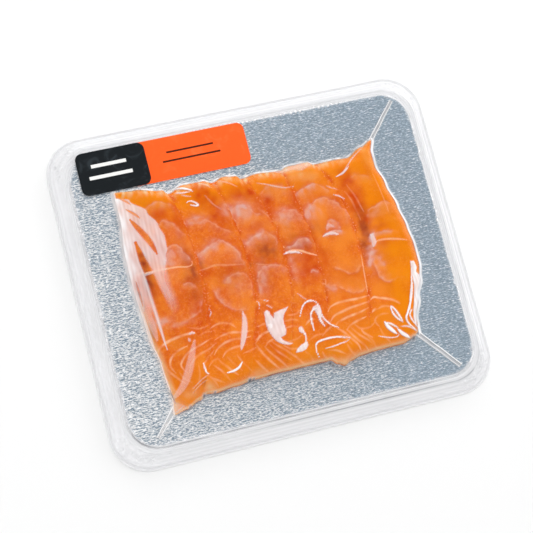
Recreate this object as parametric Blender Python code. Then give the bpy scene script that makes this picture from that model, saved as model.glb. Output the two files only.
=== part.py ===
"""Pack of sliced cured salmon: six overlapping slices sealed under film on a silver card,
which lies on the raised platform of a clear formed tray. A two-part label lies across one corner.

The pack lies flat: X runs along its long side, Y along its short side, and Z is up. The origin is at
the middle of the footprint, on the surface that the tray stands on.
"""

from math import atan2, cos, degrees, pi, radians, sin, sqrt

import bmesh
import bpy
from mathutils import Matrix, Vector

MM = 0.001
LAYER_GAP = 0.3 * MM  # air left between solids that touch

# Silver card under the fish
CARD_LENGTH = 220 * MM
CARD_WIDTH = 184 * MM
CARD_CORNER = 18 * MM
CARD_THICKNESS = 0.6 * MM
CARD_TOP = 9.0 * MM

# Clear formed tray: a flat platform, a sloping wall all round it, and a narrow lip at its foot
TRAY_WALL = 0.8 * MM
PLATFORM_TOP = CARD_TOP - CARD_THICKNESS - LAYER_GAP
PLATFORM_MARGIN = 3.7 * MM  # card edge to the top of the slope
FOOT_MARGIN = 10.3 * MM  # card edge to the foot of the slope
LIP_MARGIN = 12.9 * MM  # card edge to the outer edge
PLATFORM_CORNER = 20 * MM
FOOT_CORNER = 22 * MM
LIP_CORNER = 24 * MM
FOLD_RADIUS = 1.0 * MM  # rounding where the wall meets the platform and the lip
CORNER_STEPS = 10
FOLD_STEPS = 3

# Fish: height over the card, and how fast it rises from its outline
FISH_BASE = CARD_TOP + LAYER_GAP
FISH_HEIGHT = 8.2 * MM
FISH_RIM = 0.9 * MM
LAST_SLICE_SHARE = 0.78  # height at the right, where slices no longer overlap, against the tallest
THINNING_RUN = 96 * MM
SLICE_STEP = 0.6 * MM  # how far each slice stands over the next
STEP_WIDTH = 1.6 * MM
LEFT_SHOULDER = 19 * MM  # run of the long flank on the left
RIGHT_SHOULDER = 7 * MM
END_SHOULDER = 10 * MM  # run of the flanks at the slices' ends
COLUMNS_PER_SLICE = 7
ROWS = 42

# Outline of the sealed fish in mm, from the middle of the card: (x, y) along the top and the bottom,
# from left to right, and (y, x) along the left and the right, from bottom to top
TOP_EDGE = [(-86, 64.5), (-74, 63.5), (-57, 60), (-53.5, 57), (-44, 60.5), (-31, 60.3), (-25, 58.2),
            (-18, 60.3), (-10, 59.3), (-7, 56.8), (3, 58), (18, 56.8), (24, 58.4), (36, 58.7),
            (41, 56.2), (54, 56.5), (62, 56), (73, 61), (81.5, 64.5)]
BOTTOM_EDGE = [(-82.5, -76), (-74, -74.5), (-65, -71), (-60, -68.2), (-54, -69), (-42, -67.9),
               (-30, -66.5), (-8, -66), (19, -66), (23, -69), (27, -71), (32, -69), (38, -67.4),
               (51, -66.5), (66, -66.3), (74, -64.2), (78, -61.5)]
LEFT_EDGE = [(-76, -82.5), (-65, -81.5), (-46, -83), (-24, -86.5), (7, -88.3), (23, -88.2),
             (48, -85.8), (64.5, -86)]
RIGHT_EDGE = [(-61.5, 78), (-54, 78.7), (-40, 83.5), (-29, 88), (-19, 90), (-7, 90), (5, 88.5),
              (19, 86), (34, 82.4), (48, 79), (57, 79), (64.5, 81.5)]

# Where one slice ends on the next, in mm: x at mid-height, and how far the line bends back to the
# left at the top and at the bottom
SLICE_LINES = [(-46.5, 8, 14), (-16.5, 10, 15), (7, 15, 15), (26.5, 10, 9), (54, 14, 10)]
BEND_SPAN = 60

# Film drawn into ridges from the fish's corners: (start x, y), (end x, y), then the widths and the
# heights at the two ends, all in mm
FILM_RIDGES = {
    "upper right ridge": ((78.5, 61), (100, 85.5), (4.4, 2.4), (1.3, 0.5)),
    "lower right ridge": ((75.5, -59.5), (98.5, -87), (4.2, 2.8), (1.2, 0.5)),
    "lower left ridge": ((-80, -72), (-94.5, -86.5), (5.0, 2.8), (1.4, 0.5)),
}

# Label: a long strip and a shorter patch stuck over its left end
LABEL_THICKNESS = 0.2 * MM
LABEL_CORNER = 4.4 * MM
LABEL_BOTTOM = 65.8 * MM
LABEL_TOP = 92.8 * MM
PATCH_SPAN = (-104.2 * MM, -61.0 * MM)
STRIP_SPAN = (-74.0 * MM, 3.2 * MM)

CLEAR_PLASTIC = (0.86, 0.88, 0.90)
SILVER = (0.60, 0.64, 0.69)
FISH_ORANGE = (0.86, 0.22, 0.03)
BLACK_PRINT = (0.013, 0.016, 0.02)
ORANGE_PRINT = (1.0, 0.13, 0.02)


def clear_scene():
    for item in list(bpy.data.objects):
        bpy.data.objects.remove(item, do_unlink=True)


def make_material(name, colour, roughness, metallic=0.0, alpha=1.0):
    material = bpy.data.materials.new(name)
    material.use_nodes = True
    shader = material.node_tree.nodes["Principled BSDF"]
    shader.inputs["Base Color"].default_value = (*colour, 1.0)
    shader.inputs["Roughness"].default_value = roughness
    shader.inputs["Metallic"].default_value = metallic
    shader.inputs["Alpha"].default_value = alpha
    return material


def finish_object(name, bm, material, smooth_angle=None):
    bmesh.ops.recalc_face_normals(bm, faces=bm.faces)
    mesh = bpy.data.meshes.new(name)
    bm.to_mesh(mesh)
    bm.free()
    mesh.materials.append(material)
    if smooth_angle is not None:
        mesh.shade_smooth()
        mesh.set_sharp_from_angle(angle=smooth_angle)
    item = bpy.data.objects.new(name, mesh)
    bpy.context.collection.objects.link(item)
    return item


def rounded_ring(bm, length, width, corner, z, centre=(0.0, 0.0)):
    """Vertices in order round a rectangle with round corners, centred on a point."""
    verts = []
    for sign_x, sign_y, start in ((1, 1, 0), (-1, 1, 90), (-1, -1, 180), (1, -1, 270)):
        middle_x = centre[0] + sign_x * (length / 2 - corner)
        middle_y = centre[1] + sign_y * (width / 2 - corner)
        for step in range(CORNER_STEPS + 1):
            angle = radians(start + 90 * step / CORNER_STEPS)
            place = (middle_x + corner * cos(angle), middle_y + corner * sin(angle), z)
            verts.append(bm.verts.new(place))
    return verts


def add_band(bm, ring, following):
    """Faces between two rings, each vertex to its own match."""
    for number in range(len(ring)):
        before = number - 1
        bm.faces.new((ring[before], ring[number], following[number], following[before]))


def rounded_plate(bm, length, width, corner, bottom, thickness, centre=(0.0, 0.0)):
    lower = rounded_ring(bm, length, width, corner, bottom, centre)
    upper = rounded_ring(bm, length, width, corner, bottom + thickness, centre)
    add_band(bm, lower, upper)
    bm.faces.new(lower)
    bm.faces.new(upper)


def fold(start, end, centre):
    """Points (margin, height) on an arc about a centre, between two angles in degrees."""
    points = []
    for step in range(FOLD_STEPS + 1):
        angle = radians(start + (end - start) * step / FOLD_STEPS)
        points.append((centre[0] + FOLD_RADIUS * cos(angle), centre[1] + FOLD_RADIUS * sin(angle)))
    return points


def wall_corner(margin):
    """The plan radius of the tray's corner at a distance outside the card's edge."""
    span = FOOT_MARGIN - PLATFORM_MARGIN
    share = min(max((margin - PLATFORM_MARGIN) / span, 0.0), 1.0)
    inner = PLATFORM_CORNER + (FOOT_CORNER - PLATFORM_CORNER) * share
    if margin <= FOOT_MARGIN:
        return inner
    lip_share = (margin - FOOT_MARGIN) / (LIP_MARGIN - FOOT_MARGIN)
    return FOOT_CORNER + (LIP_CORNER - FOOT_CORNER) * lip_share


def tray_profile():
    """(margin, height) from the platform out over the wall and the lip, and back in underneath."""
    slope = atan2(PLATFORM_TOP - TRAY_WALL, FOOT_MARGIN - PLATFORM_MARGIN)
    turn = degrees(slope)
    top_centre = (PLATFORM_MARGIN, PLATFORM_TOP - FOLD_RADIUS)
    foot_centre = (FOOT_MARGIN, TRAY_WALL + FOLD_RADIUS)
    outside = fold(90, 90 - turn, top_centre) + fold(270 - turn, 270, foot_centre)
    lip = [(LIP_MARGIN - TRAY_WALL / 2, TRAY_WALL), (LIP_MARGIN, TRAY_WALL / 2), (LIP_MARGIN, 0.0)]
    inward = TRAY_WALL * (1 - cos(slope)) / sin(slope)
    foot_in = FOOT_MARGIN - inward
    top_in = PLATFORM_MARGIN - inward
    ceiling = PLATFORM_TOP - TRAY_WALL
    ease_out = FOLD_RADIUS / 2
    ease_up = FOLD_RADIUS / 4
    inside = [(foot_in, 0.0), (foot_in - ease_out, ease_up),
              (top_in + ease_out, ceiling - ease_up), (top_in, ceiling)]
    return outside + lip + inside


def build_tray():
    bm = bmesh.new()
    rings = []
    for margin, height in tray_profile():
        rings.append(rounded_ring(bm, CARD_LENGTH + 2 * margin, CARD_WIDTH + 2 * margin,
                                  wall_corner(margin), height))
    for ring, following in zip(rings, rings[1:]):
        add_band(bm, ring, following)
    bm.faces.new(rings[0])
    bm.faces.new(rings[-1])
    plastic = make_material("clear plastic", CLEAR_PLASTIC, 0.12, alpha=0.35)
    return finish_object("clear_tray", bm, plastic, radians(30))


def build_card():
    bm = bmesh.new()
    rounded_plate(bm, CARD_LENGTH, CARD_WIDTH, CARD_CORNER, CARD_TOP - CARD_THICKNESS, CARD_THICKNESS)
    silver = make_material("silver card", SILVER, 0.38, metallic=1.0)
    return finish_object("silver_card", bm, silver)


def along(points, place):
    """The value at a place on a list of (place, value), eased between its points."""
    if place <= points[0][0]:
        return points[0][1]
    for (start, low), (end, high) in zip(points, points[1:]):
        if place <= end:
            share = (place - start) / (end - start)
            return low + (high - low) * (1 - cos(pi * share)) / 2
    return points[-1][1]


def slice_line(number, y):
    middle, bend_top, bend_bottom = SLICE_LINES[number]
    bend = bend_top if y > 0 else bend_bottom
    return middle - bend * (y / BEND_SPAN) ** 2


def row_height_at(x, share):
    return along(BOTTOM_EDGE, x) * (1 - share) + along(TOP_EDGE, x) * share


def fish_columns(share):
    """X in mm of each column of a row, and each column's place across its own slice, 0 to 1."""
    y = row_height_at(0, share)
    left_y = LEFT_EDGE[0][0] * (1 - share) + LEFT_EDGE[-1][0] * share
    right_y = RIGHT_EDGE[0][0] * (1 - share) + RIGHT_EDGE[-1][0] * share
    lines = [along(LEFT_EDGE, left_y)]
    lines += [slice_line(number, y) for number in range(len(SLICE_LINES))]
    lines += [along(RIGHT_EDGE, right_y)]
    step = STEP_WIDTH / MM
    columns = []
    for number, (start, end) in enumerate(zip(lines, lines[1:])):
        if number > 0:
            start += step
        for count in range(COLUMNS_PER_SLICE + 1):
            across = count / COLUMNS_PER_SLICE
            columns.append((start + (end - start) * across, across))
    return columns


def shoulder(distance, run):
    """0 at the outline, 1 at the end of a flank's run, on a quarter of an ellipse."""
    share = min(max(distance / run, 0.0), 1.0)
    return sqrt(1 - (1 - share) ** 2)


def long_flank(distance, run):
    """0 at the outline, 1 at the end of the run: nearly straight, then rounded off at its top."""
    share = min(max(distance / run, 0.0), 1.25)
    return share - max(share - 0.75, 0.0) ** 2


def fish_top(x, y, across, ends):
    """Height in metres over the fish's base. ends are the row's first and last x in mm."""
    to_left = (x - ends[0]) * MM
    to_right = (ends[1] - x) * MM
    to_end = min(along(TOP_EDGE, x) - y, y - along(BOTTOM_EDGE, x)) * MM
    rise = long_flank(to_left, LEFT_SHOULDER) * shoulder(to_right, RIGHT_SHOULDER)
    rise *= shoulder(to_end, END_SHOULDER)
    thinning = LAST_SLICE_SHARE + (1 - LAST_SLICE_SHARE) * shoulder(to_right, THINNING_RUN)
    relief = SLICE_STEP * (across - 0.5)
    return FISH_RIM + (FISH_HEIGHT * thinning - FISH_RIM + relief) * rise


def add_fish_body(bm):
    rows = [fish_columns(row / ROWS) for row in range(ROWS + 1)]
    count = len(rows[0])
    grid = bmesh.ops.create_grid(bm, x_segments=count - 1, y_segments=ROWS, size=1.0)["verts"]
    for vert in grid:
        column = round((vert.co.x + 1) / 2 * (count - 1))
        row = round((vert.co.y + 1) / 2 * ROWS)
        share = row / ROWS
        x, across = rows[row][column]
        y = row_height_at(x, share)
        ends = (rows[row][0][0], rows[row][-1][0])
        vert.co = (x * MM, y * MM, FISH_BASE + fish_top(x, y, across, ends))
    outline = [edge for edge in bm.edges if edge.is_boundary]
    skirt = bmesh.ops.extrude_edge_only(bm, edges=outline)["geom"]
    foot = [item for item in skirt if isinstance(item, bmesh.types.BMVert)]
    for vert in foot:
        vert.co.z = FISH_BASE
    foot += [item for item in skirt if isinstance(item, bmesh.types.BMEdge) and item.is_boundary]
    bmesh.ops.contextual_create(bm, geom=foot)


def add_ridge(bm, start, end, widths, heights):
    """A tent of film with three sides, widest and tallest at its first end."""
    tent = bmesh.ops.create_cone(bm, segments=3, radius1=1, radius2=1, depth=1, cap_ends=True)["verts"]
    run = Vector(end) - Vector(start)
    turn = Matrix.Rotation(atan2(run.y, run.x), 3, "Z")
    for vert in tent:
        far = 1 if vert.co.z > 0 else 0
        at_top = vert.co.y > 0
        side = 0 if at_top else widths[far] / 2 * (1 if vert.co.x > 0 else -1)
        place = turn @ Vector((run.length * far, side, heights[far] if at_top else 0))
        vert.co = ((start[0] + place.x) * MM, (start[1] + place.y) * MM, FISH_BASE + place.z * MM)


def join_ridges(fish):
    """Joins the film's ridges to the fish as one closed body."""
    loose = bpy.data.collections.new("film ridges")
    for name, (start, end, widths, heights) in FILM_RIDGES.items():
        bm = bmesh.new()
        add_ridge(bm, start, end, widths, heights)
        ridge = finish_object(name, bm, fish.data.materials[0])
        loose.objects.link(ridge)
    union = fish.modifiers.new("ridges", "BOOLEAN")
    union.operation = "UNION"
    union.operand_type = "COLLECTION"
    union.collection = loose
    shaped = fish.evaluated_get(bpy.context.evaluated_depsgraph_get())
    mesh = bpy.data.meshes.new_from_object(shaped)
    fish.modifiers.clear()
    fish.data = mesh
    for ridge in list(loose.objects):
        bpy.data.objects.remove(ridge, do_unlink=True)
    bpy.data.collections.remove(loose)


def build_fish():
    bm = bmesh.new()
    add_fish_body(bm)
    flesh = make_material("cured salmon", FISH_ORANGE, 0.25)
    fish = finish_object("sealed_salmon", bm, flesh, radians(35))
    join_ridges(fish)


def build_label_piece(name, span, bottom, colour, material_name):
    bm = bmesh.new()
    middle = ((span[0] + span[1]) / 2, (LABEL_BOTTOM + LABEL_TOP) / 2)
    rounded_plate(bm, span[1] - span[0], LABEL_TOP - LABEL_BOTTOM, LABEL_CORNER, bottom,
                  LABEL_THICKNESS, middle)
    finish_object(name, bm, make_material(material_name, colour, 0.3))


def build_label():
    strip_bottom = CARD_TOP + LAYER_GAP
    patch_bottom = strip_bottom + LABEL_THICKNESS + LAYER_GAP
    build_label_piece("label_strip", STRIP_SPAN, strip_bottom, ORANGE_PRINT, "orange print")
    build_label_piece("label_patch", PATCH_SPAN, patch_bottom, BLACK_PRINT, "black print")


clear_scene()
build_tray()
build_card()
build_fish()
build_label()
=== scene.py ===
"""Looks for the pack of sliced cured salmon: clear tray, silver card, six slices under tight film, label.

Named lengths are in millimetres, and MM turns them into Blender's metres.
"""

from math import cos, pi, radians, sin

import bmesh
import bpy
import numpy as np
from mathutils import Euler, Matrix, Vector


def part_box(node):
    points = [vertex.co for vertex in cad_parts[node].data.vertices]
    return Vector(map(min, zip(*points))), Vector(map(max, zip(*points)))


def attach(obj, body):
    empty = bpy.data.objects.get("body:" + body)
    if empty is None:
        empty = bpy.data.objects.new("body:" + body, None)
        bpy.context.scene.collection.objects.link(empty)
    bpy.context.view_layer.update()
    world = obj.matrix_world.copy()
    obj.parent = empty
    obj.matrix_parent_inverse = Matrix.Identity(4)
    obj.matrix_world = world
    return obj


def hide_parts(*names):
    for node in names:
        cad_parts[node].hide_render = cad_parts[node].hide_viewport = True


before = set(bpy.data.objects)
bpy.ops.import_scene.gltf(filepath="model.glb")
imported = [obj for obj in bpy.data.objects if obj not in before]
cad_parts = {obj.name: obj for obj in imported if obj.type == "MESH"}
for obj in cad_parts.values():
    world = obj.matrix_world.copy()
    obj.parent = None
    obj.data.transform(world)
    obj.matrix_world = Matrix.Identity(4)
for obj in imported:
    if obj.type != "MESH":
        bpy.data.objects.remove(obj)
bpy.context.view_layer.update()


# ---------------------------------------------------------------------------------------------------
# Tray. One clear sheet about half a millimetre thick, drawn over a mould: a raised platform with a low
# bead round it, a sloping wall, and a lip that turns down at its edge. The mould's corners are grained,
# so the slope is mottled there. It stands on its lip.
# ---------------------------------------------------------------------------------------------------
MM = 0.001


def node_size(name):
    """Length and width of a CAD node, its lowest and its highest point, in millimetres."""
    lowest, highest = (np.round(np.array(corner) / MM, 2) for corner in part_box(name))
    return highest[0] - lowest[0], highest[1] - lowest[1], lowest[2], highest[2]


CARD_LENGTH, CARD_WIDTH, _, CARD_TOP = node_size("silver_card")
PLATFORM_TOP = node_size("clear_tray")[3]
TRAY_SHEET = 0.45
CORNER_STEPS = 44
SIDE_STEPS = 7
SLOPE_STEPS = 14
LONG_RUN = 4.0  # a run of the section that is longer than this is the slope
LIP_FOOT = 0.5  # the sheet lies flat below this height
# distance outside the card's edge, height and corner radius, from the platform down to the lip
TRAY_SECTION = [
    (-26.0, 8.1, 9.0), (-8.0, 8.1, 14.0), (1.7, 8.1, 19.4), (2.1, 8.1, 19.5), (2.5, 8.25, 19.6),
    (2.9, 8.42, 19.7), (3.3, 8.46, 19.8), (3.7, 8.4, 20.0), (4.1, 8.15, 20.1), (4.5, 7.75, 20.2),
    (4.9, 7.3, 20.4), (9.3, 2.0, 21.7), (9.7, 1.55, 21.8), (10.1, 1.2, 21.9), (10.5, 0.98, 22.2),
    (11.0, 0.86, 22.6), (11.5, 0.86, 23.0), (11.8, 1.0, 23.2), (12.1, 1.16, 23.4), (12.4, 1.14, 23.6),
    (12.65, 0.95, 23.8), (12.8, 0.6, 23.9), (12.85, 0.02, 24.0),
]
GRAINED = (4.3, 5.6, 9.6, 11.2)  # distances where the grain starts, is full, fades and ends
GRAIN_DEPTH = 0.42
GRAIN_LIMIT = 1.4
GRAIN_LIFT = 0.7  # share of the grain that moves the sheet up
GRAIN_PUSH = 0.5  # share of it that moves the sheet outwards
# the grained corners: painted highlight, white on the grain, and painted shade, grey in its hollows
GRAIN_HIGHLIGHT = 0.5
GRAIN_SHADE = 0.5
SHEET_WAVE = 0.05
# how milky the sheet looks at each distance: most at its bends, where the white lines are painted highlights
TRAY_MILK_AND_HIGHLIGHT = [
    (-8.0, 0.4), (1.2, 0.55), (2.1, 0.75), (2.9, 0.6), (3.7, 0.8), (4.1, 0.7), (4.9, 0.5), (8.6, 0.52),
    (9.6, 0.62), (10.3, 0.85), (11.0, 0.55), (11.7, 0.5), (12.3, 0.8), (12.65, 0.9), (12.85, 0.9),
]
HAZE_MOST = 0.9
BEAD_FOOT = 4.1  # where the bead bends down into the slope
BEAD_LINE = 0.35  # half width of the painted shade line there
BEAD_SHADE = 0.85
BEAD_SHADE_LEFT = 0.1
BEAD_SHADE_RIGHT = 0.7
BEAD_SHADE_TOP = 0.35


def grid_mesh(name, columns, rows):
    """A flat grid, and for each vertex its place along and across, 0 to 1."""
    bm = bmesh.new()
    bmesh.ops.create_grid(bm, x_segments=columns, y_segments=rows, size=0.5)
    mesh = bpy.data.meshes.new(name)
    bm.to_mesh(mesh)
    bm.free()
    points = np.zeros(len(mesh.vertices) * 3)
    mesh.vertices.foreach_get("co", points)
    flat = points.reshape(-1, 3)
    along = np.round((flat[:, 0] + 0.5) * columns) / columns
    across = np.round((flat[:, 1] + 0.5) * rows) / rows
    return mesh, along, across


def write_points(mesh, x, y, z):
    """Places vertices from millimetres."""
    points = np.stack([x, y, z], 1) * MM
    mesh.vertices.foreach_set("co", points.astype(np.float32).ravel())
    mesh.update()


def write_field(mesh, name, values):
    """A number for each vertex, which a material reads by its name."""
    field = mesh.attributes.new(name, "FLOAT", "POINT")
    field.data.foreach_set("value", np.asarray(values, np.float32))


def place_piece(name, mesh, material, nodes=()):
    piece = bpy.data.objects.new(name, mesh)
    bpy.context.scene.collection.objects.link(piece)
    mesh.materials.clear()
    mesh.materials.append(material)
    mesh.shade_smooth()
    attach(piece, "root")
    if nodes:
        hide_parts(*nodes)
    return piece


def ripples(x, y, wavelength, seed, count=9):
    """Soft uneven relief from about -1 to 1, as a sum of waves that run in seeded directions."""
    draw = np.random.default_rng(seed)
    total = np.zeros_like(x)
    for _ in range(count):
        angle = draw.uniform(0, 2 * pi)
        length = wavelength * draw.uniform(0.7, 1.5)
        phase = draw.uniform(0, 2 * pi)
        total += np.sin(2 * pi * (x * cos(angle) + y * sin(angle)) / length + phase)
    return total / (0.35 * count)


def smooth_between(low, high, value):
    """0 at low and 1 at high, with a smooth rise between them; low may be the larger of the two."""
    share = np.clip((value - low) / (high - low), 0, 1)
    return share * share * (3 - 2 * share)


def band(value, start, full, fading, end):
    """1 from full to fading, and 0 before start and after end."""
    return smooth_between(start, full, value) * smooth_between(end, fading, value)


def peak(value, middle, width):
    """1 at the middle, falling to a third at the width on both sides."""
    return np.exp(-((value - middle) / width) ** 2)


def tray_section():
    """The section with the slope's straight run divided evenly."""
    rows = []
    for first, second in zip(TRAY_SECTION, TRAY_SECTION[1:]):
        is_slope = first[0] > 0 and second[0] - first[0] > LONG_RUN
        parts = SLOPE_STEPS if is_slope else 1
        for part in range(parts):
            rows.append([a + (b - a) * part / parts for a, b in zip(first, second)])
    rows.append(list(TRAY_SECTION[-1]))
    return np.array(rows)


def wrap_sheet(around, section):
    """Points of a sheet whose section runs once round the card, and how far each is into a corner."""
    margin, height, radius = section
    per_side = CORNER_STEPS + 1 + SIDE_STEPS
    index = np.round(around * 4 * per_side).astype(int) % (4 * per_side)
    quarter = index // per_side
    step = index % per_side
    turn = radians(90) * (quarter + np.minimum(step, CORNER_STEPS) / CORNER_STEPS)
    along_side = np.maximum(step - CORNER_STEPS, 0) / (SIDE_STEPS + 1)

    def corner(which, angle):
        sign_x = np.array([1, -1, -1, 1])[which % 4]
        sign_y = np.array([1, 1, -1, -1])[which % 4]
        x = sign_x * (CARD_LENGTH / 2 + margin - radius) + radius * np.cos(angle)
        y = sign_y * (CARD_WIDTH / 2 + margin - radius) + radius * np.sin(angle)
        return x, y

    x, y = corner(quarter, turn)
    next_x, next_y = corner(quarter + 1, turn)
    x = x + (next_x - x) * along_side
    y = y + (next_y - y) * along_side
    in_corner = np.where(along_side > 0, 0.0, np.sin(2 * (turn - radians(90) * quarter)))
    return x, y, height, in_corner


section = tray_section()
tray_mesh, tray_around, tray_across = grid_mesh(
    "tray_shell", 4 * (CORNER_STEPS + 1 + SIDE_STEPS), len(section) - 1)
tray_rows = section[np.round(tray_across * (len(section) - 1)).astype(int)]
tray_x, tray_y, tray_z, tray_corner = wrap_sheet(tray_around, tray_rows.T)
margin = tray_rows[:, 0]
grain = ripples(tray_x, tray_y, 3.1, 5, 14) * ripples(tray_x, tray_y, 4.6, 6, 10)
grain = np.clip(grain, -GRAIN_LIMIT, GRAIN_LIMIT) * GRAIN_DEPTH
grain = grain * band(margin, *GRAINED) * smooth_between(0.05, 0.45, tray_corner)
lift = grain * GRAIN_LIFT + SHEET_WAVE * ripples(tray_x, tray_y, 17, 8)
tray_z = np.where(tray_z > LIP_FOOT, tray_z + lift, tray_z)
outwards = 1 + grain * GRAIN_PUSH / np.hypot(tray_x, tray_y)
write_points(tray_mesh, tray_x * outwards, tray_y * outwards, tray_z)

# milky sheet, with painted highlight lines at its bends and painted highlights on the grain
tray_milk_and_highlight = np.interp(margin, *zip(*TRAY_MILK_AND_HIGHLIGHT)) + GRAIN_HIGHLIGHT * np.abs(grain)
tray_milk_and_highlight = tray_milk_and_highlight + 0.05 * ripples(tray_x * 0.3, tray_y * 0.3, 11, 9)
tray_milk_and_highlight = tray_milk_and_highlight + 0.07 * ripples(margin * 4, tray_around * 60, 9, 10)
write_field(tray_mesh, "milk_and_highlight", np.clip(tray_milk_and_highlight, 0, HAZE_MOST))

# painted shade: a fine grey line where the bead bends, strongest along the bottom and faint at the left, and
# grey on the grain's hollows
bead_share = smooth_between(-88, -93, tray_y) * smooth_between(-60, 10, tray_x)
bead_share = np.maximum(bead_share, BEAD_SHADE_LEFT)
bead_share = np.maximum(bead_share, BEAD_SHADE_RIGHT * smooth_between(106, 111, tray_x))
bead_share = np.maximum(bead_share, BEAD_SHADE_TOP * smooth_between(88, 93, tray_y))
bead_share = bead_share * (0.75 + 0.25 * ripples(tray_x, tray_y, 31, 11))
tray_shade = BEAD_SHADE * peak(margin, BEAD_FOOT, BEAD_LINE) * bead_share
write_field(tray_mesh, "painted_shade", np.clip(tray_shade + GRAIN_SHADE * np.clip(-grain, 0, 1), 0, 1))

# the grid's two ends meet, and one face closes the platform
bm = bmesh.new()
bm.from_mesh(tray_mesh)
bmesh.ops.remove_doubles(bm, verts=bm.verts, dist=1e-6)
inner_edge = [edge for edge in bm.edges if edge.is_boundary and edge.verts[0].co.z > CARD_TOP / 2 * MM]
bmesh.ops.contextual_create(bm, geom=inner_edge)
bmesh.ops.recalc_face_normals(bm, faces=bm.faces)
if sum(face.normal.z for face in bm.faces) < 0:
    bmesh.ops.reverse_faces(bm, faces=bm.faces)
bm.to_mesh(tray_mesh)
bm.free()


def new_material(name):
    material = bpy.data.materials.new(name)
    material.use_nodes = True
    tree = material.node_tree
    tree.nodes.clear()
    return material, tree, tree.nodes.new("ShaderNodeOutputMaterial")


def add_node(tree, kind, settings=None, **inputs):
    """A node with its settings and inputs. An input goes by its name, or by i and its number; a socket is
    linked to it, and a value is set."""
    node = tree.nodes.new(kind)
    for key, value in (settings or {}).items():
        setattr(node, key, value)
    for key, value in inputs.items():
        socket = node.inputs[int(key[1:])] if key[1:].isdigit() else node.inputs[key.replace("_", " ")]
        if isinstance(value, bpy.types.NodeSocket):
            tree.links.new(value, socket)
        else:
            socket.default_value = value
    return node


def math_node(tree, operation, first, second=0.0, third=0.0):
    node = add_node(tree, "ShaderNodeMath", {"operation": operation}, i0=first, i1=second, i2=third)
    return node.outputs[0]


def attribute(tree, name):
    return add_node(tree, "ShaderNodeAttribute", {"attribute_name": name}).outputs["Fac"]


def blend_colour(tree, share, first, second):
    """First where share is 0, second where it is 1."""
    return add_node(tree, "ShaderNodeMix", {"data_type": "RGBA"}, i0=share, i6=first, i7=second).outputs[2]


def linear(red, green, blue):
    """A shader colour from one named in 8-bit values."""
    shares = [((c / 255 + 0.055) / 1.055) ** 2.4 if c > 10 else c / 3294 for c in (red, green, blue)]
    return (*shares, 1.0)


PLASTIC_INDEX = 1.5  # of refraction
PLASTIC_MILKY = (0.93, 0.93, 0.94, 1)
MILKY_GLOSS = 0.12
TRAY_TINT = (0.985, 0.985, 0.99, 1)
TRAY_ROUGHNESS = 0.07
TRAY_SHADE_GREY = linear(88, 92, 102)
TRAY_GLOW = 0.4


def clear_sheet_material(name, tint, roughness, shade_colour, glow):
    """Clear plastic: what lies behind shows through a faint tint, under a gloss that grows at a slant.
    Where the milky field is set the plastic is milky, which also serves as painted highlight; where the shade
    field is set too it is dark and matt, as painted shade.
    Glow is how much of the light the milky plastic lets through."""
    material, tree, output = new_material(name)

    def mix_shaders(share, first, second):
        return add_node(tree, "ShaderNodeMixShader", i0=share, i1=first.outputs[0], i2=second.outputs[0])

    from_air = add_node(tree, "ShaderNodeFresnel", IOR=PLASTIC_INDEX)
    from_inside = add_node(tree, "ShaderNodeFresnel", IOR=1 / PLASTIC_INDEX)
    behind = add_node(tree, "ShaderNodeNewGeometry").outputs["Backfacing"]
    fresnel = add_node(tree, "ShaderNodeMix", i0=behind, i2=from_air.outputs[0], i3=from_inside.outputs[0])
    through = add_node(tree, "ShaderNodeBsdfTransparent", Color=tint)
    gloss = add_node(tree, "ShaderNodeBsdfGlossy", Color=(1, 1, 1, 1), Roughness=roughness)
    clear = mix_shaders(fresnel.outputs[0], through, gloss)
    painted_shade = attribute(tree, "painted_shade")
    tone = blend_colour(tree, painted_shade, PLASTIC_MILKY, shade_colour)
    lit = add_node(tree, "ShaderNodeBsdfDiffuse", Color=tone)
    lit_through = add_node(tree, "ShaderNodeBsdfTranslucent", Color=tone)
    milk = mix_shaders(glow, lit, lit_through)
    milk_gloss = mix_shaders(math_node(tree, "MULTIPLY_ADD", painted_shade, -MILKY_GLOSS, MILKY_GLOSS), milk, gloss)
    both = mix_shaders(attribute(tree, "milk_and_highlight"), clear, milk_gloss)
    tree.links.new(both.outputs[0], output.inputs[0])
    return material


tray_plastic = clear_sheet_material("clear tray plastic", TRAY_TINT, TRAY_ROUGHNESS, TRAY_SHADE_GREY, TRAY_GLOW)
tray = place_piece("tray_shell", tray_mesh, tray_plastic, ["clear_tray"])
sheet = tray.modifiers.new("sheet", "SOLIDIFY")
sheet.thickness = TRAY_SHEET * MM
sheet.offset = -1


# ---------------------------------------------------------------------------------------------------
# Card. Stiff board faced with foil, cut with round corners. The foil is brushed along the card's long
# side, so it shows short bright and dark dashes that run that way.
# ---------------------------------------------------------------------------------------------------
FOIL_DARK = linear(146, 162, 177)
FOIL_MIDDLE = linear(169, 186, 201)
FOIL_LIGHT = linear(201, 217, 230)
FOIL_BRIGHT_AND_GLINT = linear(254, 254, 255)
# length and width of the brush's marks, and of the painted glints
FINE_DASHES = (1.9, 0.52)
LONG_DASHES = (6.5, 0.65)
PAINTED_GLINT_DASHES = (2.8, 0.8)
LONG_SHARE = 0.6  # of the long marks, over the fine ones
DASHES_MEAN = 0.8  # of the two together
# painted light: the foil is lighter and more contrasty, with more glints, towards the card's left end and its
# bottom edge
FOIL_PAINTED_LIGHT_ALONG = -0.17  # for each metre
FOIL_PAINTED_LIGHT_ACROSS = -0.06
FOIL_TONE = 0.58
FOIL_CONTRAST = 1.2
FOIL_CONTRAST_LIT = 80.0
FOIL_CONTRAST_LEAST = 0.65
PAINTED_GLINTS = 0.6
PAINTED_GLINTS_LIT = 20.0
PAINTED_GLINTS_LEAST = 0.2
PAINTED_GLINT_REACH = 3.4  # how much further the painted glints spread where the painted light is
FOIL_METAL = 0.42
PAINTED_GLINT_METAL = 0.07
FOIL_ROUGHNESS = (0.5, 0.34)


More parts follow.
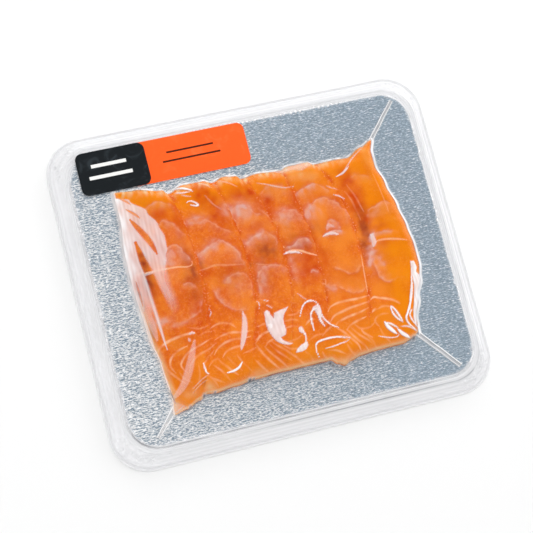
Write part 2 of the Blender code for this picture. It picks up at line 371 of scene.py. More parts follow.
def object_place(tree):
    return add_node(tree, "ShaderNodeTexCoord").outputs["Object"]


def noise(tree, place, scale, detail, roughness, distortion=0.0):
    return add_node(tree, "ShaderNodeTexNoise", Vector=place, Scale=scale, Detail=detail,
                    Roughness=roughness, Distortion=distortion).outputs["Fac"]


def mask_group(name, numbers, masks):
    """A node group with the named numbers going in and the named masks coming out, still empty."""
    group = bpy.data.node_groups.new(name, "ShaderNodeTree")
    for direction, sockets in (("INPUT", numbers), ("OUTPUT", masks)):
        for socket in sockets:
            group.interface.new_socket(socket, in_out=direction, socket_type="NodeSocketFloat")
    return group, group.nodes.new("NodeGroupInput"), group.nodes.new("NodeGroupOutput")


def dash_group():
    """Soft dashes that run along X, as a mask from 0 to 1."""
    group, entry, leave = mask_group("brushed dashes", ["Dash length", "Dash width"], ["Dashes"])
    apart = add_node(group, "ShaderNodeSeparateXYZ", i0=object_place(group))
    along = math_node(group, "DIVIDE", apart.outputs[0], entry.outputs[0])
    across = math_node(group, "DIVIDE", apart.outputs[1], entry.outputs[1])
    stretched = add_node(group, "ShaderNodeCombineXYZ", i0=along, i1=across)
    group.links.new(noise(group, stretched.outputs[0], 1.0, 2.0, 0.6), leave.inputs[0])
    return group


dashes = dash_group()


def ramp(tree, source, stops):
    node = add_node(tree, "ShaderNodeValToRGB", i0=source)
    elements = node.color_ramp.elements
    while len(elements) < len(stops):
        elements.new(0.5)
    for element, (place, colour) in zip(elements, stops):
        element.position = place
        element.color = colour
    return node.outputs["Color"]


def grey(value):
    return (value, value, value, 1.0)


def foil_material():
    material, tree, output = new_material("brushed silver foil")

    def brushed(size):
        length, width = size
        node = add_node(tree, "ShaderNodeGroup", {"node_tree": dashes}, i0=length * MM, i1=width * MM)
        return node.outputs[0]

    both = math_node(tree, "MULTIPLY_ADD", brushed(LONG_DASHES), LONG_SHARE, brushed(FINE_DASHES))
    apart = add_node(tree, "ShaderNodeSeparateXYZ", i0=object_place(tree))
    # painted light, lighter and more contrasty towards the card's left end and its bottom edge
    painted_light_across = math_node(tree, "MULTIPLY", apart.outputs[1], FOIL_PAINTED_LIGHT_ACROSS)
    painted_light = math_node(tree, "MULTIPLY_ADD", apart.outputs[0], FOIL_PAINTED_LIGHT_ALONG, painted_light_across)
    contrast = math_node(tree, "MULTIPLY_ADD", painted_light, FOIL_CONTRAST_LIT, FOIL_CONTRAST)
    contrast = math_node(tree, "MAXIMUM", contrast, FOIL_CONTRAST_LEAST)
    centred = math_node(tree, "SUBTRACT", both, DASHES_MEAN)
    tone = math_node(tree, "ADD", math_node(tree, "MULTIPLY_ADD", centred, contrast, FOIL_TONE), painted_light)
    colour = ramp(tree, tone, [(0.5, FOIL_DARK), (0.59, FOIL_MIDDLE), (0.635, FOIL_LIGHT),
                               (0.675, FOIL_BRIGHT_AND_GLINT)])
    # painted glints: white dashes, less metallic, more of them where the painted light is
    painted_glint = math_node(tree, "MULTIPLY_ADD", painted_light, PAINTED_GLINT_REACH, brushed(PAINTED_GLINT_DASHES))
    painted_glint = ramp(tree, painted_glint, [(0.62, grey(0)), (0.67, grey(1))])
    painted_glint_share = math_node(tree, "MULTIPLY_ADD", painted_light, PAINTED_GLINTS_LIT, PAINTED_GLINTS)
    painted_glint_share = math_node(tree, "MAXIMUM", painted_glint_share, PAINTED_GLINTS_LEAST)
    painted_glint = math_node(tree, "MULTIPLY", painted_glint, painted_glint_share)
    colour = blend_colour(tree, painted_glint, colour, FOIL_BRIGHT_AND_GLINT)
    metal = math_node(tree, "MULTIPLY_ADD", painted_glint, PAINTED_GLINT_METAL - FOIL_METAL, FOIL_METAL)
    dull, bright = FOIL_ROUGHNESS
    rough = ramp(tree, both, [(0.65, grey(dull)), (0.95, grey(bright))])
    bump = add_node(tree, "ShaderNodeBump", Strength=0.6, Distance=0.5 * MM, Height=both)
    shader = add_node(tree, "ShaderNodeBsdfPrincipled", Base_Color=colour, Metallic=metal, Roughness=rough,
                      Normal=bump.outputs[0])
    tree.links.new(shader.outputs[0], output.inputs[0])
    return material


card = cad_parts["silver_card"]
card.data.materials.clear()
card.data.materials.append(foil_material())


# ---------------------------------------------------------------------------------------------------
# Slices. Six slices of cured salmon, cut thin on a slant and laid so that each covers the left side of
# the next. Each has the same make-up: amber belly edge at its top, rounded flakes with milky edges in
# the middle, a crease, an oval of back meat, and a fan of white fat lines in its bottom third.
# ---------------------------------------------------------------------------------------------------
FISH_BASE = node_size("sealed_salmon")[2]
FISH_HEIGHT = 8.2
FISH_RIM = 0.9
LAST_SLICE_SHARE = 0.78  # height at the right, where slices no longer overlap, against the tallest
THINNING_RUN = 96.0
SLICE_STEP = 0.6
LEFT_SHOULDER = 19.0
RIGHT_SHOULDER = 7.0
END_SHOULDER = 10.0
SLICE_ROWS = 320
SLICE_WIDTHS = [41.5, 32, 25, 20.5, 28.5, 35]
COLUMN_WIDTH = 0.42
EDGE_WOBBLE = 0.35
TUCK = 2.2  # how far a slice runs on under the one at its left
TUCK_DROP = 0.9
EDGE_DROP = 0.5  # how far a slice's edge rolls down
EDGE_ROLL = 1.2  # over this width
THINNEST = 0.25
FILM_GAP = 0.16
MILKY_RELIEF = 0.08

# the fish's outline: (x, y) along its top and bottom, (y, x) up its left and right
TOP_EDGE = [
    (-86, 64.5), (-74, 63.5), (-57, 60), (-53.5, 57), (-44, 60.5), (-31, 60.3), (-25, 58.2), (-18, 60.3),
    (-10, 59.3), (-7, 56.8), (3, 58), (18, 56.8), (24, 58.4), (36, 58.7), (41, 56.2), (54, 56.5),
    (62, 56), (73, 61), (81.5, 64.5),
]
BOTTOM_EDGE = [
    (-82.5, -76), (-74, -74.5), (-65, -71), (-60, -68.2), (-54, -69), (-42, -67.9), (-30, -66.5),
    (-8, -66), (19, -66), (23, -69), (27, -71), (32, -69), (38, -67.4), (51, -66.5), (66, -66.3),
    (74, -64.2), (78, -61.5),
]
LEFT_EDGE = [
    (-76, -82.5), (-65, -81.5), (-46, -83), (-24, -86.5), (7, -88.3), (23, -88.2), (48, -85.8),
    (64.5, -86),
]
RIGHT_EDGE = [
    (-61.5, 78), (-54, 78.7), (-40, 83.5), (-29, 88), (-19, 90), (-7, 90), (5, 88.5), (19, 86),
    (34, 82.4), (48, 79), (57, 79), (64.5, 81.5),
]
# each line between slices: x in the middle, and how far its top and its bottom bend to the left
SLICE_LINES = [(-46.5, 8, 14), (-16.5, 10, 15), (7, 15, 15), (26.5, 10, 9), (54, 14, 10)]
BEND_SPAN = 60.0


def eased(points, place):
    """The value at each place on a list of (place, value), eased between its points."""
    places = np.array([point[0] for point in points], float)
    values = np.array([point[1] for point in points], float)
    before = np.clip(np.searchsorted(places, place, side="right") - 1, 0, len(places) - 2)
    share = np.clip((place - places[before]) / (places[before + 1] - places[before]), 0, 1)
    return values[before] + (values[before + 1] - values[before]) * (1 - np.cos(pi * share)) / 2


def side_lines(share):
    """X of the fish's left outline, of the five lines between slices and of its right outline, for rows
    whose place from the bottom edge to the top edge is share."""
    y = eased(BOTTOM_EDGE, 0.0) * (1 - share) + eased(TOP_EDGE, 0.0) * share
    left_y = LEFT_EDGE[0][0] * (1 - share) + LEFT_EDGE[-1][0] * share
    right_y = RIGHT_EDGE[0][0] * (1 - share) + RIGHT_EDGE[-1][0] * share
    lines = [eased(LEFT_EDGE, left_y)]
    for middle, bend_top, bend_bottom in SLICE_LINES:
        lines.append(middle - np.where(y > 0, bend_top, bend_bottom) * (y / BEND_SPAN) ** 2)
    lines.append(eased(RIGHT_EDGE, right_y))
    return lines


def row_y(x, share):
    return eased(BOTTOM_EDGE, x) * (1 - share) + eased(TOP_EDGE, x) * share


def shoulder(distance, run):
    """A quarter round from the outline up to the top."""
    share = np.clip(distance / run, 0, 1)
    return np.sqrt(1 - (1 - share) ** 2)


def long_flank(distance, run):
    """A flank that runs nearly straight from the outline and rounds off at its top."""
    share = np.clip(distance / run, 0, 1.25)
    return share - np.maximum(share - 0.75, 0) ** 2


def fish_top(x, y, across, left, right):
    """Height over the fish's base."""
    to_end = np.minimum(eased(TOP_EDGE, x) - y, y - eased(BOTTOM_EDGE, x))
    rise = long_flank(x - left, LEFT_SHOULDER) * shoulder(right - x, RIGHT_SHOULDER)
    rise = rise * shoulder(to_end, END_SHOULDER)
    thinning = LAST_SLICE_SHARE + (1 - LAST_SLICE_SHARE) * shoulder(right - x, THINNING_RUN)
    relief = SLICE_STEP * (across - 0.5) + 0.22 * ripples(x, y, 26, 21) + 0.1 * ripples(x, y, 11, 22)
    return FISH_RIM + (FISH_HEIGHT * thinning - FISH_RIM + relief) * rise


def thicker_ends(count, share):
    """Places from 0 to 1 that lie closer together near the ends, the more so the larger the share."""
    even = np.arange(count + 1) / count
    return even * (1 - share) + (1 - np.cos(pi * even)) / 2 * share


# Flakes that show in each slice: points along the edge, with the flake on the right of the way they run,
# how strong the pale line on the edge is, how milky the flake is inside it, and how far that reaches in
FLAKES = [
    [  # slice 1
        ([(-72, 49.5), (-66, 51.5), (-58, 50.5), (-54, 48)], 0.1, 0.35, 3.5),
        ([(-66, 36), (-62.5, 39.8), (-58.5, 38.5), (-54.5, 33.5), (-51, 27.5)], 0.45, 0.3, 5.0),
        ([(-67.5, 16), (-65, 21.5), (-60.5, 24), (-56, 22), (-52.5, 15.5), (-51, 11)], 0.35, 0.45, 6.0),
        ([(-67, 12), (-65, 18), (-60, 21)], 0.0, 0.8, 8.0),
        ([(-60, -2.5), (-57, -1), (-54, -2), (-52, -5)], 0.35, 0.35, 2.5),
        ([(-50, -12), (-54, -19), (-60, -23), (-66, -24)], 0.25, 0.3, 3.0),
    ],
    [  # slice 2
        ([(-49.5, 35), (-45, 37), (-40, 36.8), (-36, 35)], 0.0, 0.6, 3.2),
        ([(-37, 35.5), (-32, 32), (-27, 27), (-22, 23.5)], 0.6, 0.2, 4.0),
        ([(-47.5, 12), (-43.5, 15.5), (-39, 18), (-33, 20.3), (-28.5, 19.6), (-24.5, 16), (-21.5, 11),
          (-19.5, 4)], 0.35, 0.5, 5.0),
        ([(-47.5, 12), (-44, 15), (-38, 18.4), (-32, 20)], 0.0, 1.0, 3.6),
        ([(-32.1, -7.4), (-33.9, -4.9), (-32.3, -3.2), (-28.6, -2), (-23.7, -2.1), (-20, -3.9),
          (-18.1, -7.6), (-18.3, -13.4), (-20.5, -17)], 0.5, 0.2, 5.0),
        ([(-25, -24.5), (-31, -24), (-36.5, -20.5), (-40.5, -14), (-42, -7)], 0.3, 0.4, 3.0),
    ],
    [  # slice 3
        ([(-26, 33), (-24, 38), (-19, 39.4), (-13, 38.6), (-9, 36)], 0.0, 1.0, 9.0),
        ([(-9, 36.5), (-5, 33.5), (-1, 29.5)], 0.4, 0.3, 5.0),
        ([(-3, 35.5), (2, 30.5), (6, 25)], 0.35, 0.15, 3.0),
        ([(-19.4, 14.7), (-15.4, 15.7), (-9.4, 17.9), (-4.9, 19), (-0.7, 19.2), (1.9, 16.3), (3.6, 13),
          (3.4, 9.2)], 0.4, 0.3, 4.0),
        ([(-19.4, 14.7), (-15.4, 15.7), (-9.4, 17.9), (-4.9, 19), (-0.7, 19.2)], 0.0, 1.0, 3.0),
        ([(-15.2, -19), (-14, -11), (-13, -5.5), (-8.6, -1.6), (-3.5, -1.1), (2.6, -2.6), (5.4, -6.5)],
         0.3, 0.5, 4.0),
    ],
    [  # slice 4
        ([(1, 43), (7, 47), (13.5, 46.5), (19.5, 42)], 0.2, 0.3, 6.0),
        ([(8.6, 22), (9.4, 28.4), (12, 30.4), (17, 29.8), (21, 27.6), (23.6, 22)], 0.2, 0.45, 6.0),
        ([(8, 6.8), (14.2, 8.8), (21.4, 10.6), (24.5, 8)], 0.2, 0.8, 4.0),
        ([(8.5, -14), (8.2, -6), (9.5, 2)], 0.0, 0.5, 4.0),
        ([(19, -12), (21, -10.4), (24.5, -12)], 0.3, 0.6, 2.0),
    ],
    [  # slice 5
        ([(22.5, 36.5), (26, 40.5), (31, 42.5), (37, 42)], 0.1, 0.8, 3.2),
        ([(37, 42), (41.5, 39.5), (44.5, 36)], 0.3, 0.2, 3.0),
        ([(25, 22.5), (27, 28), (31.5, 31), (36, 32.8), (39, 33.4), (43.5, 30.5), (48.5, 25.5),
          (52.5, 19), (55, 13)], 0.45, 0.35, 5.0),
        ([(25.3, 22), (27.5, 27), (33, 31)], 0.0, 0.95, 5.0),
        ([(37.5, 13), (39, 17.5), (42, 17.8), (44, 14), (44.5, 11)], 0.1, 0.6, 4.0),
        ([(32, 9.5), (38, 11.3), (46, 10)], 0.2, 0.9, 1.6),
        ([(53, -13), (46, -17), (39.5, -15), (34, -10)], 0.55, 0.15, 3.0),
        ([(52, -27.5), (45, -29.2), (37, -26), (30.5, -20.5)], 0.4, 0.2, 3.0),
        ([(33, -25), (29, -23.5), (26.5, -20.5)], 0.0, 0.5, 3.0),
    ],
    [  # slice 6
        ([(59, 42), (62, 43.4), (68, 42), (72.5, 39)], 0.15, 0.2, 4.0),
        ([(64, 14), (66, 19), (71, 20.8), (76.5, 22), (80.5, 20)], 0.3, 0.35, 6.0),
        ([(61.5, -2), (62.5, 3), (66, 4.4)], 0.0, 0.7, 3.0),
        ([(65, 3.4), (70, 4.6), (78, 3)], 0.1, 0.5, 1.6),
        ([(57, -16), (58, -9), (61.6, -3.4)], 0.0, 0.85, 4.6),
        ([(60, -9), (64.5, -11), (66, -18)], 0.0, 0.5, 4.5),
        ([(70, -27.4), (66, -26.8), (61.6, -23.4), (60.2, -16), (60.8, -9)], 0.4, 0.4, 3.0),
    ],
]
FLAKE_FILL = 1.25
FLAKE_LINE = 0.65
FLAKE_LINE_WIDTH = 0.6
FLAKE_SHADE = 0.75  # painted shade in red just outside a flake
FLAKE_SHADE_REACH = 2.4
# Milky patches in each slice: middle x and y, half width, half height, strength
MILKY_SPOTS = [
    [  # slice 1
        (-77, -20, 6, 2.6, 0.75), (-67, -24, 7, 1.6, 0.5),
    ],
    [  # slice 2
        (-48, 34.6, 5, 1.8, 0.8), (-39, 34.6, 5, 1.6, 0.7), (-22, 38.5, 3.5, 4, 0.7),
        (-32, -4.5, 2.4, 2.4, 0.6), (-26, -9, 7, 6, 0.25),
    ],
    [  # slice 3
        (-15, 35.5, 8, 5.5, 1.0), (-10.6, -8, 2.8, 8.5, 0.6),
    ],
    [  # slice 4
        (12.5, 26.8, 5, 4.6, 0.85), (17.5, 8.6, 6.5, 2.2, 0.6), (10, -3, 2, 6, 0.4),
    ],
    [  # slice 5
        (27.3, 25.8, 2.6, 4, 0.9), (39, 32, 4.5, 1.8, 0.4), (41, 14.4, 3.6, 1.6, 0.6),
    ],
    [],  # slice 6
]
# Creases across the flakes, painted as pale lines that stand for the film's highlights over them: points,
# width and strength
CREASES = [
    [  # slice 1
        ([(-84, 12), (-76, 11), (-68, 10.5), (-60, 10), (-54, 8.8), (-51.2, 9.4), (-50.6, 11.6)], 1.5,
         1.0),
    ],
    [  # slice 2
        ([(-49, 5), (-44, 5.2), (-37, 6), (-29, 4.4), (-20, 3)], 2.2, 0.32),
    ],
    [  # slice 3
        ([(-14, 2), (-8, 0), (2, -2.5)], 1.3, 0.3),
    ],
    [  # slice 4
        ([(7.5, 4), (12, 4.8), (17, 3.4), (21, 1), (26, -1.5)], 1.9, 1.0),
        ([(6, 9), (7.5, 7.4)], 1.2, 0.9),
    ],
    [  # slice 5
        ([(27.5, -17), (26.5, -21)], 1.0, 0.5),
        ([(53.2, -7), (52.2, -18), (51.2, -31)], 1.2, 0.8),
    ],
    [  # slice 6
        ([(63.5, -2.4), (66, -0.8), (72, -1), (80, -2.8), (85, -4.4)], 1.8, 0.8),
        ([(78, 16), (76.5, 30), (74.5, 44)], 1.2, 0.3),
    ],
]
# Lines of fat, most in the bottom third of the slices: strength, then points; a strong line is also wider
FAT_LINES = [
    (0.95,
     [(-85, -39), (-82, -35.6), (-79, -33.6), (-75, -32.2), (-70, -31.5), (-63, -31), (-59.6, -31.2)]),
    (0.7, [(-76, -52), (-77.8, -47), (-76.4, -42.8), (-73, -40), (-70, -38.8), (-66, -38)]),
    (0.6, [(-70, -53), (-71.8, -48.6), (-69.6, -44.8), (-66, -42), (-62, -40.5), (-57, -39), (-51, -37)]),
    (0.45, [(-83, -41), (-81, -46), (-78.6, -51), (-75, -56), (-71, -60)]),
    (0.35, [(-83.4, -48), (-82, -55), (-79, -61), (-76, -65)]),
    (0.4, [(-68, -54), (-66, -49), (-60, -44.8), (-54, -43), (-48, -40)]),
    (0.3, [(-74, -52), (-72, -56), (-68, -60)]), (0.3, [(-65, -62), (-63, -57), (-62, -51)]),
    (0.3, [(-62, -27.5), (-56, -29.6), (-51, -29)]), (0.25, [(-58, -34), (-53, -32.4), (-49, -33)]),
    (0.5, [(-50, -31), (-46, -29.5), (-42, -29.2), (-37, -31), (-34, -34)]),
    (0.55, [(-49, -38.4), (-45, -37), (-40, -36.2), (-36, -36.4), (-31, -37.5), (-25, -37.8)]),
    (0.65, [(-51, -47), (-49, -44.4), (-47, -43), (-43, -41.3), (-38, -40.6), (-33, -41), (-27, -41.2)]),
    (0.5, [(-46.4, -49.6), (-44, -47), (-40, -45.7), (-35, -45.2), (-30, -45.6)]),
    (0.35, [(-59, -51), (-54, -47), (-51, -44.5)]), (0.3, [(-56, -53), (-52, -50), (-48, -50)]),
    (0.45, [(-49.6, -49), (-47.6, -53), (-44, -57.4), (-40, -62)]),
    (0.4, [(-53, -53), (-49, -58), (-44.6, -65)]), (0.4, [(-57, -59.6), (-53, -62), (-49, -64.6)]),
    (0.35, [(-44, -50), (-41, -55), (-37, -60)]), (0.35, [(-38, -50), (-35, -56), (-31, -62)]),
    (0.3, [(-60, -57), (-56, -60), (-53, -66)]), (0.4, [(-21, -36.8), (-18, -35.6), (-13, -35.2)]),
    (0.35, [(-34, -50), (-29, -49.4), (-24, -47.6)]),
    (0.65, [(-25, -46), (-22, -42.8), (-18, -41), (-13, -40.2)]),
    (0.4, [(-20, -49.4), (-17, -46.8), (-13, -45.8)]),
    (0.6, [(-25.4, -45.6), (-23, -51), (-19.6, -57.4), (-13, -65)]),
    (0.55, [(-28, -55), (-25, -60), (-21, -64.6)]),
    (0.5, [(-20.4, -49), (-17, -54.4), (-12, -60.4), (-8, -64.6)]),
    (0.4, [(-17, -48), (-12.6, -54.4), (-5.4, -61)]),
    (0.4, [(-15, -47), (-10, -52.6), (-4, -58), (0, -62)]), (0.45, [(-9, -51), (-5, -54), (0, -54.6)]),
    (0.4, [(-5, -37), (0, -36.8), (4, -38)]), (0.35, [(-5, -41), (0, -40.8), (3.4, -41.8)]),
    (0.35, [(-6, -49.5), (0, -49), (4, -47.4)]), (0.35, [(7, -32), (3, -34), (-2, -33.4)]),
    (0.45, [(8, -42), (11, -39.8), (15, -39.6)]), (0.35, [(7, -52), (12, -49.6), (18, -49.8)]),
    (0.4, [(16, -51), (20, -48), (25, -45.4)]), (0.45, [(3.4, -57.4), (6, -61), (8, -65)]),
    (0.35, [(-3, -58), (-1, -61.6), (2, -65)]), (0.45, [(17.6, -60), (23, -61.4), (28, -65)]),
    (0.4, [(14, -60), (15, -63), (18, -66)]), (0.4, [(30, -59), (31, -63), (34, -67)]),
    (0.75, [(24, -37), (26, -34.6), (30, -33.3), (36, -33), (43, -33.3), (51.4, -33)]),
    (0.75,
     [(22.4, -44.4), (26, -41), (29.4, -39.6), (33.4, -38.8), (38, -37.8), (44, -37.3), (51, -36.6)]),
    (0.7, [(25, -47.4), (28, -44.8), (32, -43.6), (37, -42.6), (42, -42), (49, -40.4)]),
    (0.6, [(32, -51), (34, -48.8), (36.6, -47.6), (41, -46.4), (46, -45.4)]),
    (0.55, [(26, -48), (29.6, -51), (33, -55.4), (36.4, -60), (38, -65)]),
    (0.6, [(32, -50), (35, -54.4), (39, -60), (43, -65.4)]),
    (0.45, [(34.4, -49), (39.4, -55.4), (46, -62), (49, -66)]),
    (0.4, [(37, -47.4), (41, -51.6), (47, -52), (51.6, -49)]),
    (0.5, [(41, -51.6), (42.6, -55), (47, -58.6)]), (0.4, [(29.4, -53), (31.4, -57), (33, -60)]),
    (0.35, [(48, -64), (46, -60), (43.6, -57)]),
    (0.8, [(51.6, -36), (54, -34.6), (58, -36), (62, -37.3), (65.4, -39), (69, -42)]),
    (0.7, [(50.6, -43.4), (52.6, -42.2), (54.6, -42.4)]), (0.5, [(54, -42.6), (58, -41.4), (63, -42.6)]),
    (0.25, [(52, -48), (56, -46), (61, -46.6)]), (0.35, [(53, -53), (51, -49), (54, -46)]),
    (0.35, [(58, -64), (54, -59), (53, -54)]), (0.3, [(56.4, 38), (59.6, 29), (62.6, 19)]),
    (0.25, [(54, 34), (57, 25), (59.4, 14)]),
]
FAT_WIDTH = 1.7
FAT_STRENGTH = 1.05
# Red and brown meat: middle x and y, half width, half height, strength
RED_SPOTS = [
    [  # slice 1
        (-62, 44, 7, 4, 0.9), (-53, 38, 4, 12, 0.7), (-52, -18, 6, 9, 0.6), (-78.5, -3, 2.4, 9, 0.4),
    ],
    [  # slice 2
        (-34, 50, 6, 9, 0.9), (-28, 38, 5, 12, 0.9), (-44, 2, 4, 4, 0.6), (-26, 2, 7, 4, 0.6),
    ],
    [  # slice 3
        (-8, 46, 10, 5, 0.95), (-1, 38, 4, 8, 0.7), (-5, 24, 8, 5, 0.5), (-8, 2, 7, 3, 0.5),
        (-12, -55, 6, 6, 0.45),
    ],
    [  # slice 4
        (4, 36, 4, 9, 0.9), (22, 37, 3, 8, 0.9), (20, -6, 8, 10, 0.9), (12, -2, 6, 5, 0.5),
        (4, 3, 3, 6, 0.6),
    ],
    [  # slice 5
        (26, 10, 3, 9, 0.9), (29, -4, 4, 9, 0.7), (28, -14, 4, 6, 0.4),
    ],
    [  # slice 6
        (56.8, 40, 4.6, 9, 1.0), (58.6, 27, 5.6, 11, 1.0), (61.5, 15, 5.4, 8, 0.8), (70, 8, 6, 4, 0.6),
        (70, -3, 5, 3, 0.5),
    ],
]
BROWN_SPOTS = [
    [  # slice 1
        (-51.5, 5, 2.4, 4, 0.9), (-79, 6, 3, 9, 1.0), (-78.8, 18, 2.4, 7, 1.0), (-84.5, -24, 2.2, 5, 1.0),
        (-86.3, -4, 2.2, 12, 0.9), (-53, 12, 3.5, 8, 0.5), (-53, 1, 5, 5, 0.6), (-53, -8, 6, 5, 0.4),
        (-60, -62, 3, 3, 0.5), (-82.2, -65, 0.8, 3.6, 0.9), (-85.2, -37, 0.8, 2, 0.8),
    ],
    [  # slice 2
        (-46.5, 9, 2.2, 5, 0.7), (-48, -3, 2, 9, 0.4), (-30, -4, 8, 8, 0.25), (-29, -63, 2.6, 3, 0.4),
    ],
    [  # slice 3
        (-16.5, 4, 1.6, 4, 0.7), (-4, 8.5, 6.5, 6, 0.75), (-10, 2, 7, 3, 0.3), (-11, -8, 5, 6, 0.35),
    ],
    [  # slice 4
        (16, 7, 9, 4, 0.5), (12, 21, 5, 5, 0.2), (14, 13, 8, 3, 0.3),
    ],
    [  # slice 5
        (30, 16, 5, 5, 0.2),
    ],
    [  # slice 6
        (60.5, 18, 3.2, 5, 0.7), (60, 8, 3, 8, 1.0), (57.5, -2, 3.4, 5, 0.9), (55.5, -8, 2.4, 4, 0.6),
    ],
]
# Thin translucent ends, in any slice
PALE_SPOTS = [
    (-58, -65, 3, 3.4, 0.55), (-70, -66, 5, 3, 0.4), (34, 48, 6, 3, 0.3), (-27, -64.5, 4, 2.8, 0.5),
    (25, -69, 7, 2.6, 0.7), (45, -66.5, 14, 1.5, 0.5), (-80, -71.5, 4.5, 4, 0.75), (28, 55, 9, 2.4, 0.7),
    (28, 50, 7, 3, 0.35), (-46, 58, 6, 1.5, 0.4), (-6, -65, 12, 1.4, 0.5), (66, -65, 6, 1.4, 0.5),
    (-84.6, -50, 1.6, 12, 0.55), (74, 54, 3, 8, 0.15),
]
SEAM_WIDTH = 1.6  # of the painted red shade at a slice's own edge
SEAM_WIDTH_UNDER = 2.2  # and where it comes out from under its neighbour
SEAM_END = (-58, -36)  # y where the seams are gone and where they are full
AMBER_TOP = (30, 54)  # y where the amber belly meat starts and is full
AMBER_BOTTOM = (-38, -62)
AMBER_RIGHT = (59, 69)  # x of it in the last slice
LIGHT_RIGHT = (74, 60)
LIGHT_FIFTH = (52, 40)
RIM_BOTTOM = (2.8, 0.5)  # distance from the edge where the pale rim starts and is full
RIM_TOP = (1.6, 0.2)
RIM_LEFT = (4.5, 1.0)
RIM_STREAKS = (7, 1)


def curve_distance(x, y, points):
    """Distance to a line through the points, whether a place lies on the right of the way it runs, and how
    far along the line it is, 0 to 1."""
    closest = np.full(x.shape, 1e9)
    place = np.zeros(x.shape)
    right = np.zeros(x.shape, bool)
    length = 0.0
    for start, end in zip(points, points[1:]):
        run_x = end[0] - start[0]
        run_y = end[1] - start[1]
        run = float(np.hypot(run_x, run_y))
        share = np.clip(((x - start[0]) * run_x + (y - start[1]) * run_y) / run ** 2, 0, 1)
        distance = np.hypot(x - start[0] - share * run_x, y - start[1] - share * run_y)
        nearer = distance < closest
        closest = np.where(nearer, distance, closest)
        place = np.where(nearer, length + share * run, place)
        right = np.where(nearer, (x - start[0]) * run_y - (y - start[1]) * run_x > 0, right)
        length += run
    return closest, right, place / length


def soft_curve(points, steps=7):
    """More points, on a smooth curve through the given points."""
    knots = [points[0], *points, points[-1]]
    curve = []
    for before, start, end, after in zip(knots, knots[1:], knots[2:], knots[3:]):
        for step in range(steps):
            t = step / steps
            curve.append(tuple(0.5 * (2 * b + (c - a) * t + (2 * a - 5 * b + 4 * c - d) * t * t
                                      + (3 * b - a - 3 * c + d) * t ** 3)
                               for a, b, c, d in zip(before, start, end, after)))
    curve.append(tuple(points[-1]))
    return curve


def near_curve(x, y, points, width):
    """1 on a smooth curve through the points, falling to 0 at half its width, and thinner at its two ends."""
    distance, _, place = curve_distance(x, y, soft_curve(points))
    local = width / 2 * np.clip(np.sin(pi * np.clip(place, 0.03, 0.97)) ** 0.5, 0.05, 1)
    return np.clip(1 - (distance / local) ** 2, 0, 1) ** 2


def spots(x, y, listed, wavelength, seed):
    """Soft uneven patches: 1 in the middle of a full one, 0 away from all."""
    total = np.zeros_like(x)
    for middle_x, middle_y, half_x, half_y, strength in listed:
        blob = ((x - middle_x) / half_x) ** 2 + ((y - middle_y) / half_y) ** 2
        total = np.maximum(total, strength * np.exp(-blob * 0.9))
    return total * (0.8 + 0.2 * ripples(x, y, wavelength, seed))


def flake_fields(number, x, y):
    """How milky the flakes are, the pale lines on their edges, and red: red meat in spots, and painted shade
    just outside the flakes.
    """
    wander_x = x + 0.5 * ripples(x, y, 9, 31 + number) + 0.26 * ripples(x, y, 3.4, 35 + number)
    wander_y = y + 0.5 * ripples(x, y, 9, 41 + number) + 0.26 * ripples(x, y, 3.4, 45 + number)
    milky = spots(wander_x, wander_y, MILKY_SPOTS[number], 6, 141 + number)
    fat_and_highlight = np.zeros_like(x)
    red = spots(x, y, RED_SPOTS[number], 7, 51 + number)
    uneven = 0.8 + 0.35 * ripples(x, y, 6, 93 + number)
    broken = 0.6 + 0.4 * ripples(x, y, 5, 95 + number)
    for points, line, strength, reach in FLAKES[number]:
        distance, inside, place = curve_distance(wander_x, wander_y, soft_curve(points))
        ends = band(place, 0, 0.12, 0.88, 1)
        fill = np.exp(-distance / np.where(inside, 0.75 * reach, 0.5 if line > 0 else 1.4))
        milky = np.maximum(milky, FLAKE_FILL * strength * fill * (0.35 + 0.65 * ends) * uneven)
        edge = peak(distance, 0, FLAKE_LINE_WIDTH) * ends * broken
        fat_and_highlight = np.maximum(fat_and_highlight, FLAKE_LINE * line * edge)
        shade = FLAKE_SHADE * (line + strength) * np.exp(-distance / FLAKE_SHADE_REACH) * ends
        red = np.maximum(red, np.where(inside, 0, shade))
    return milky, fat_and_highlight, red


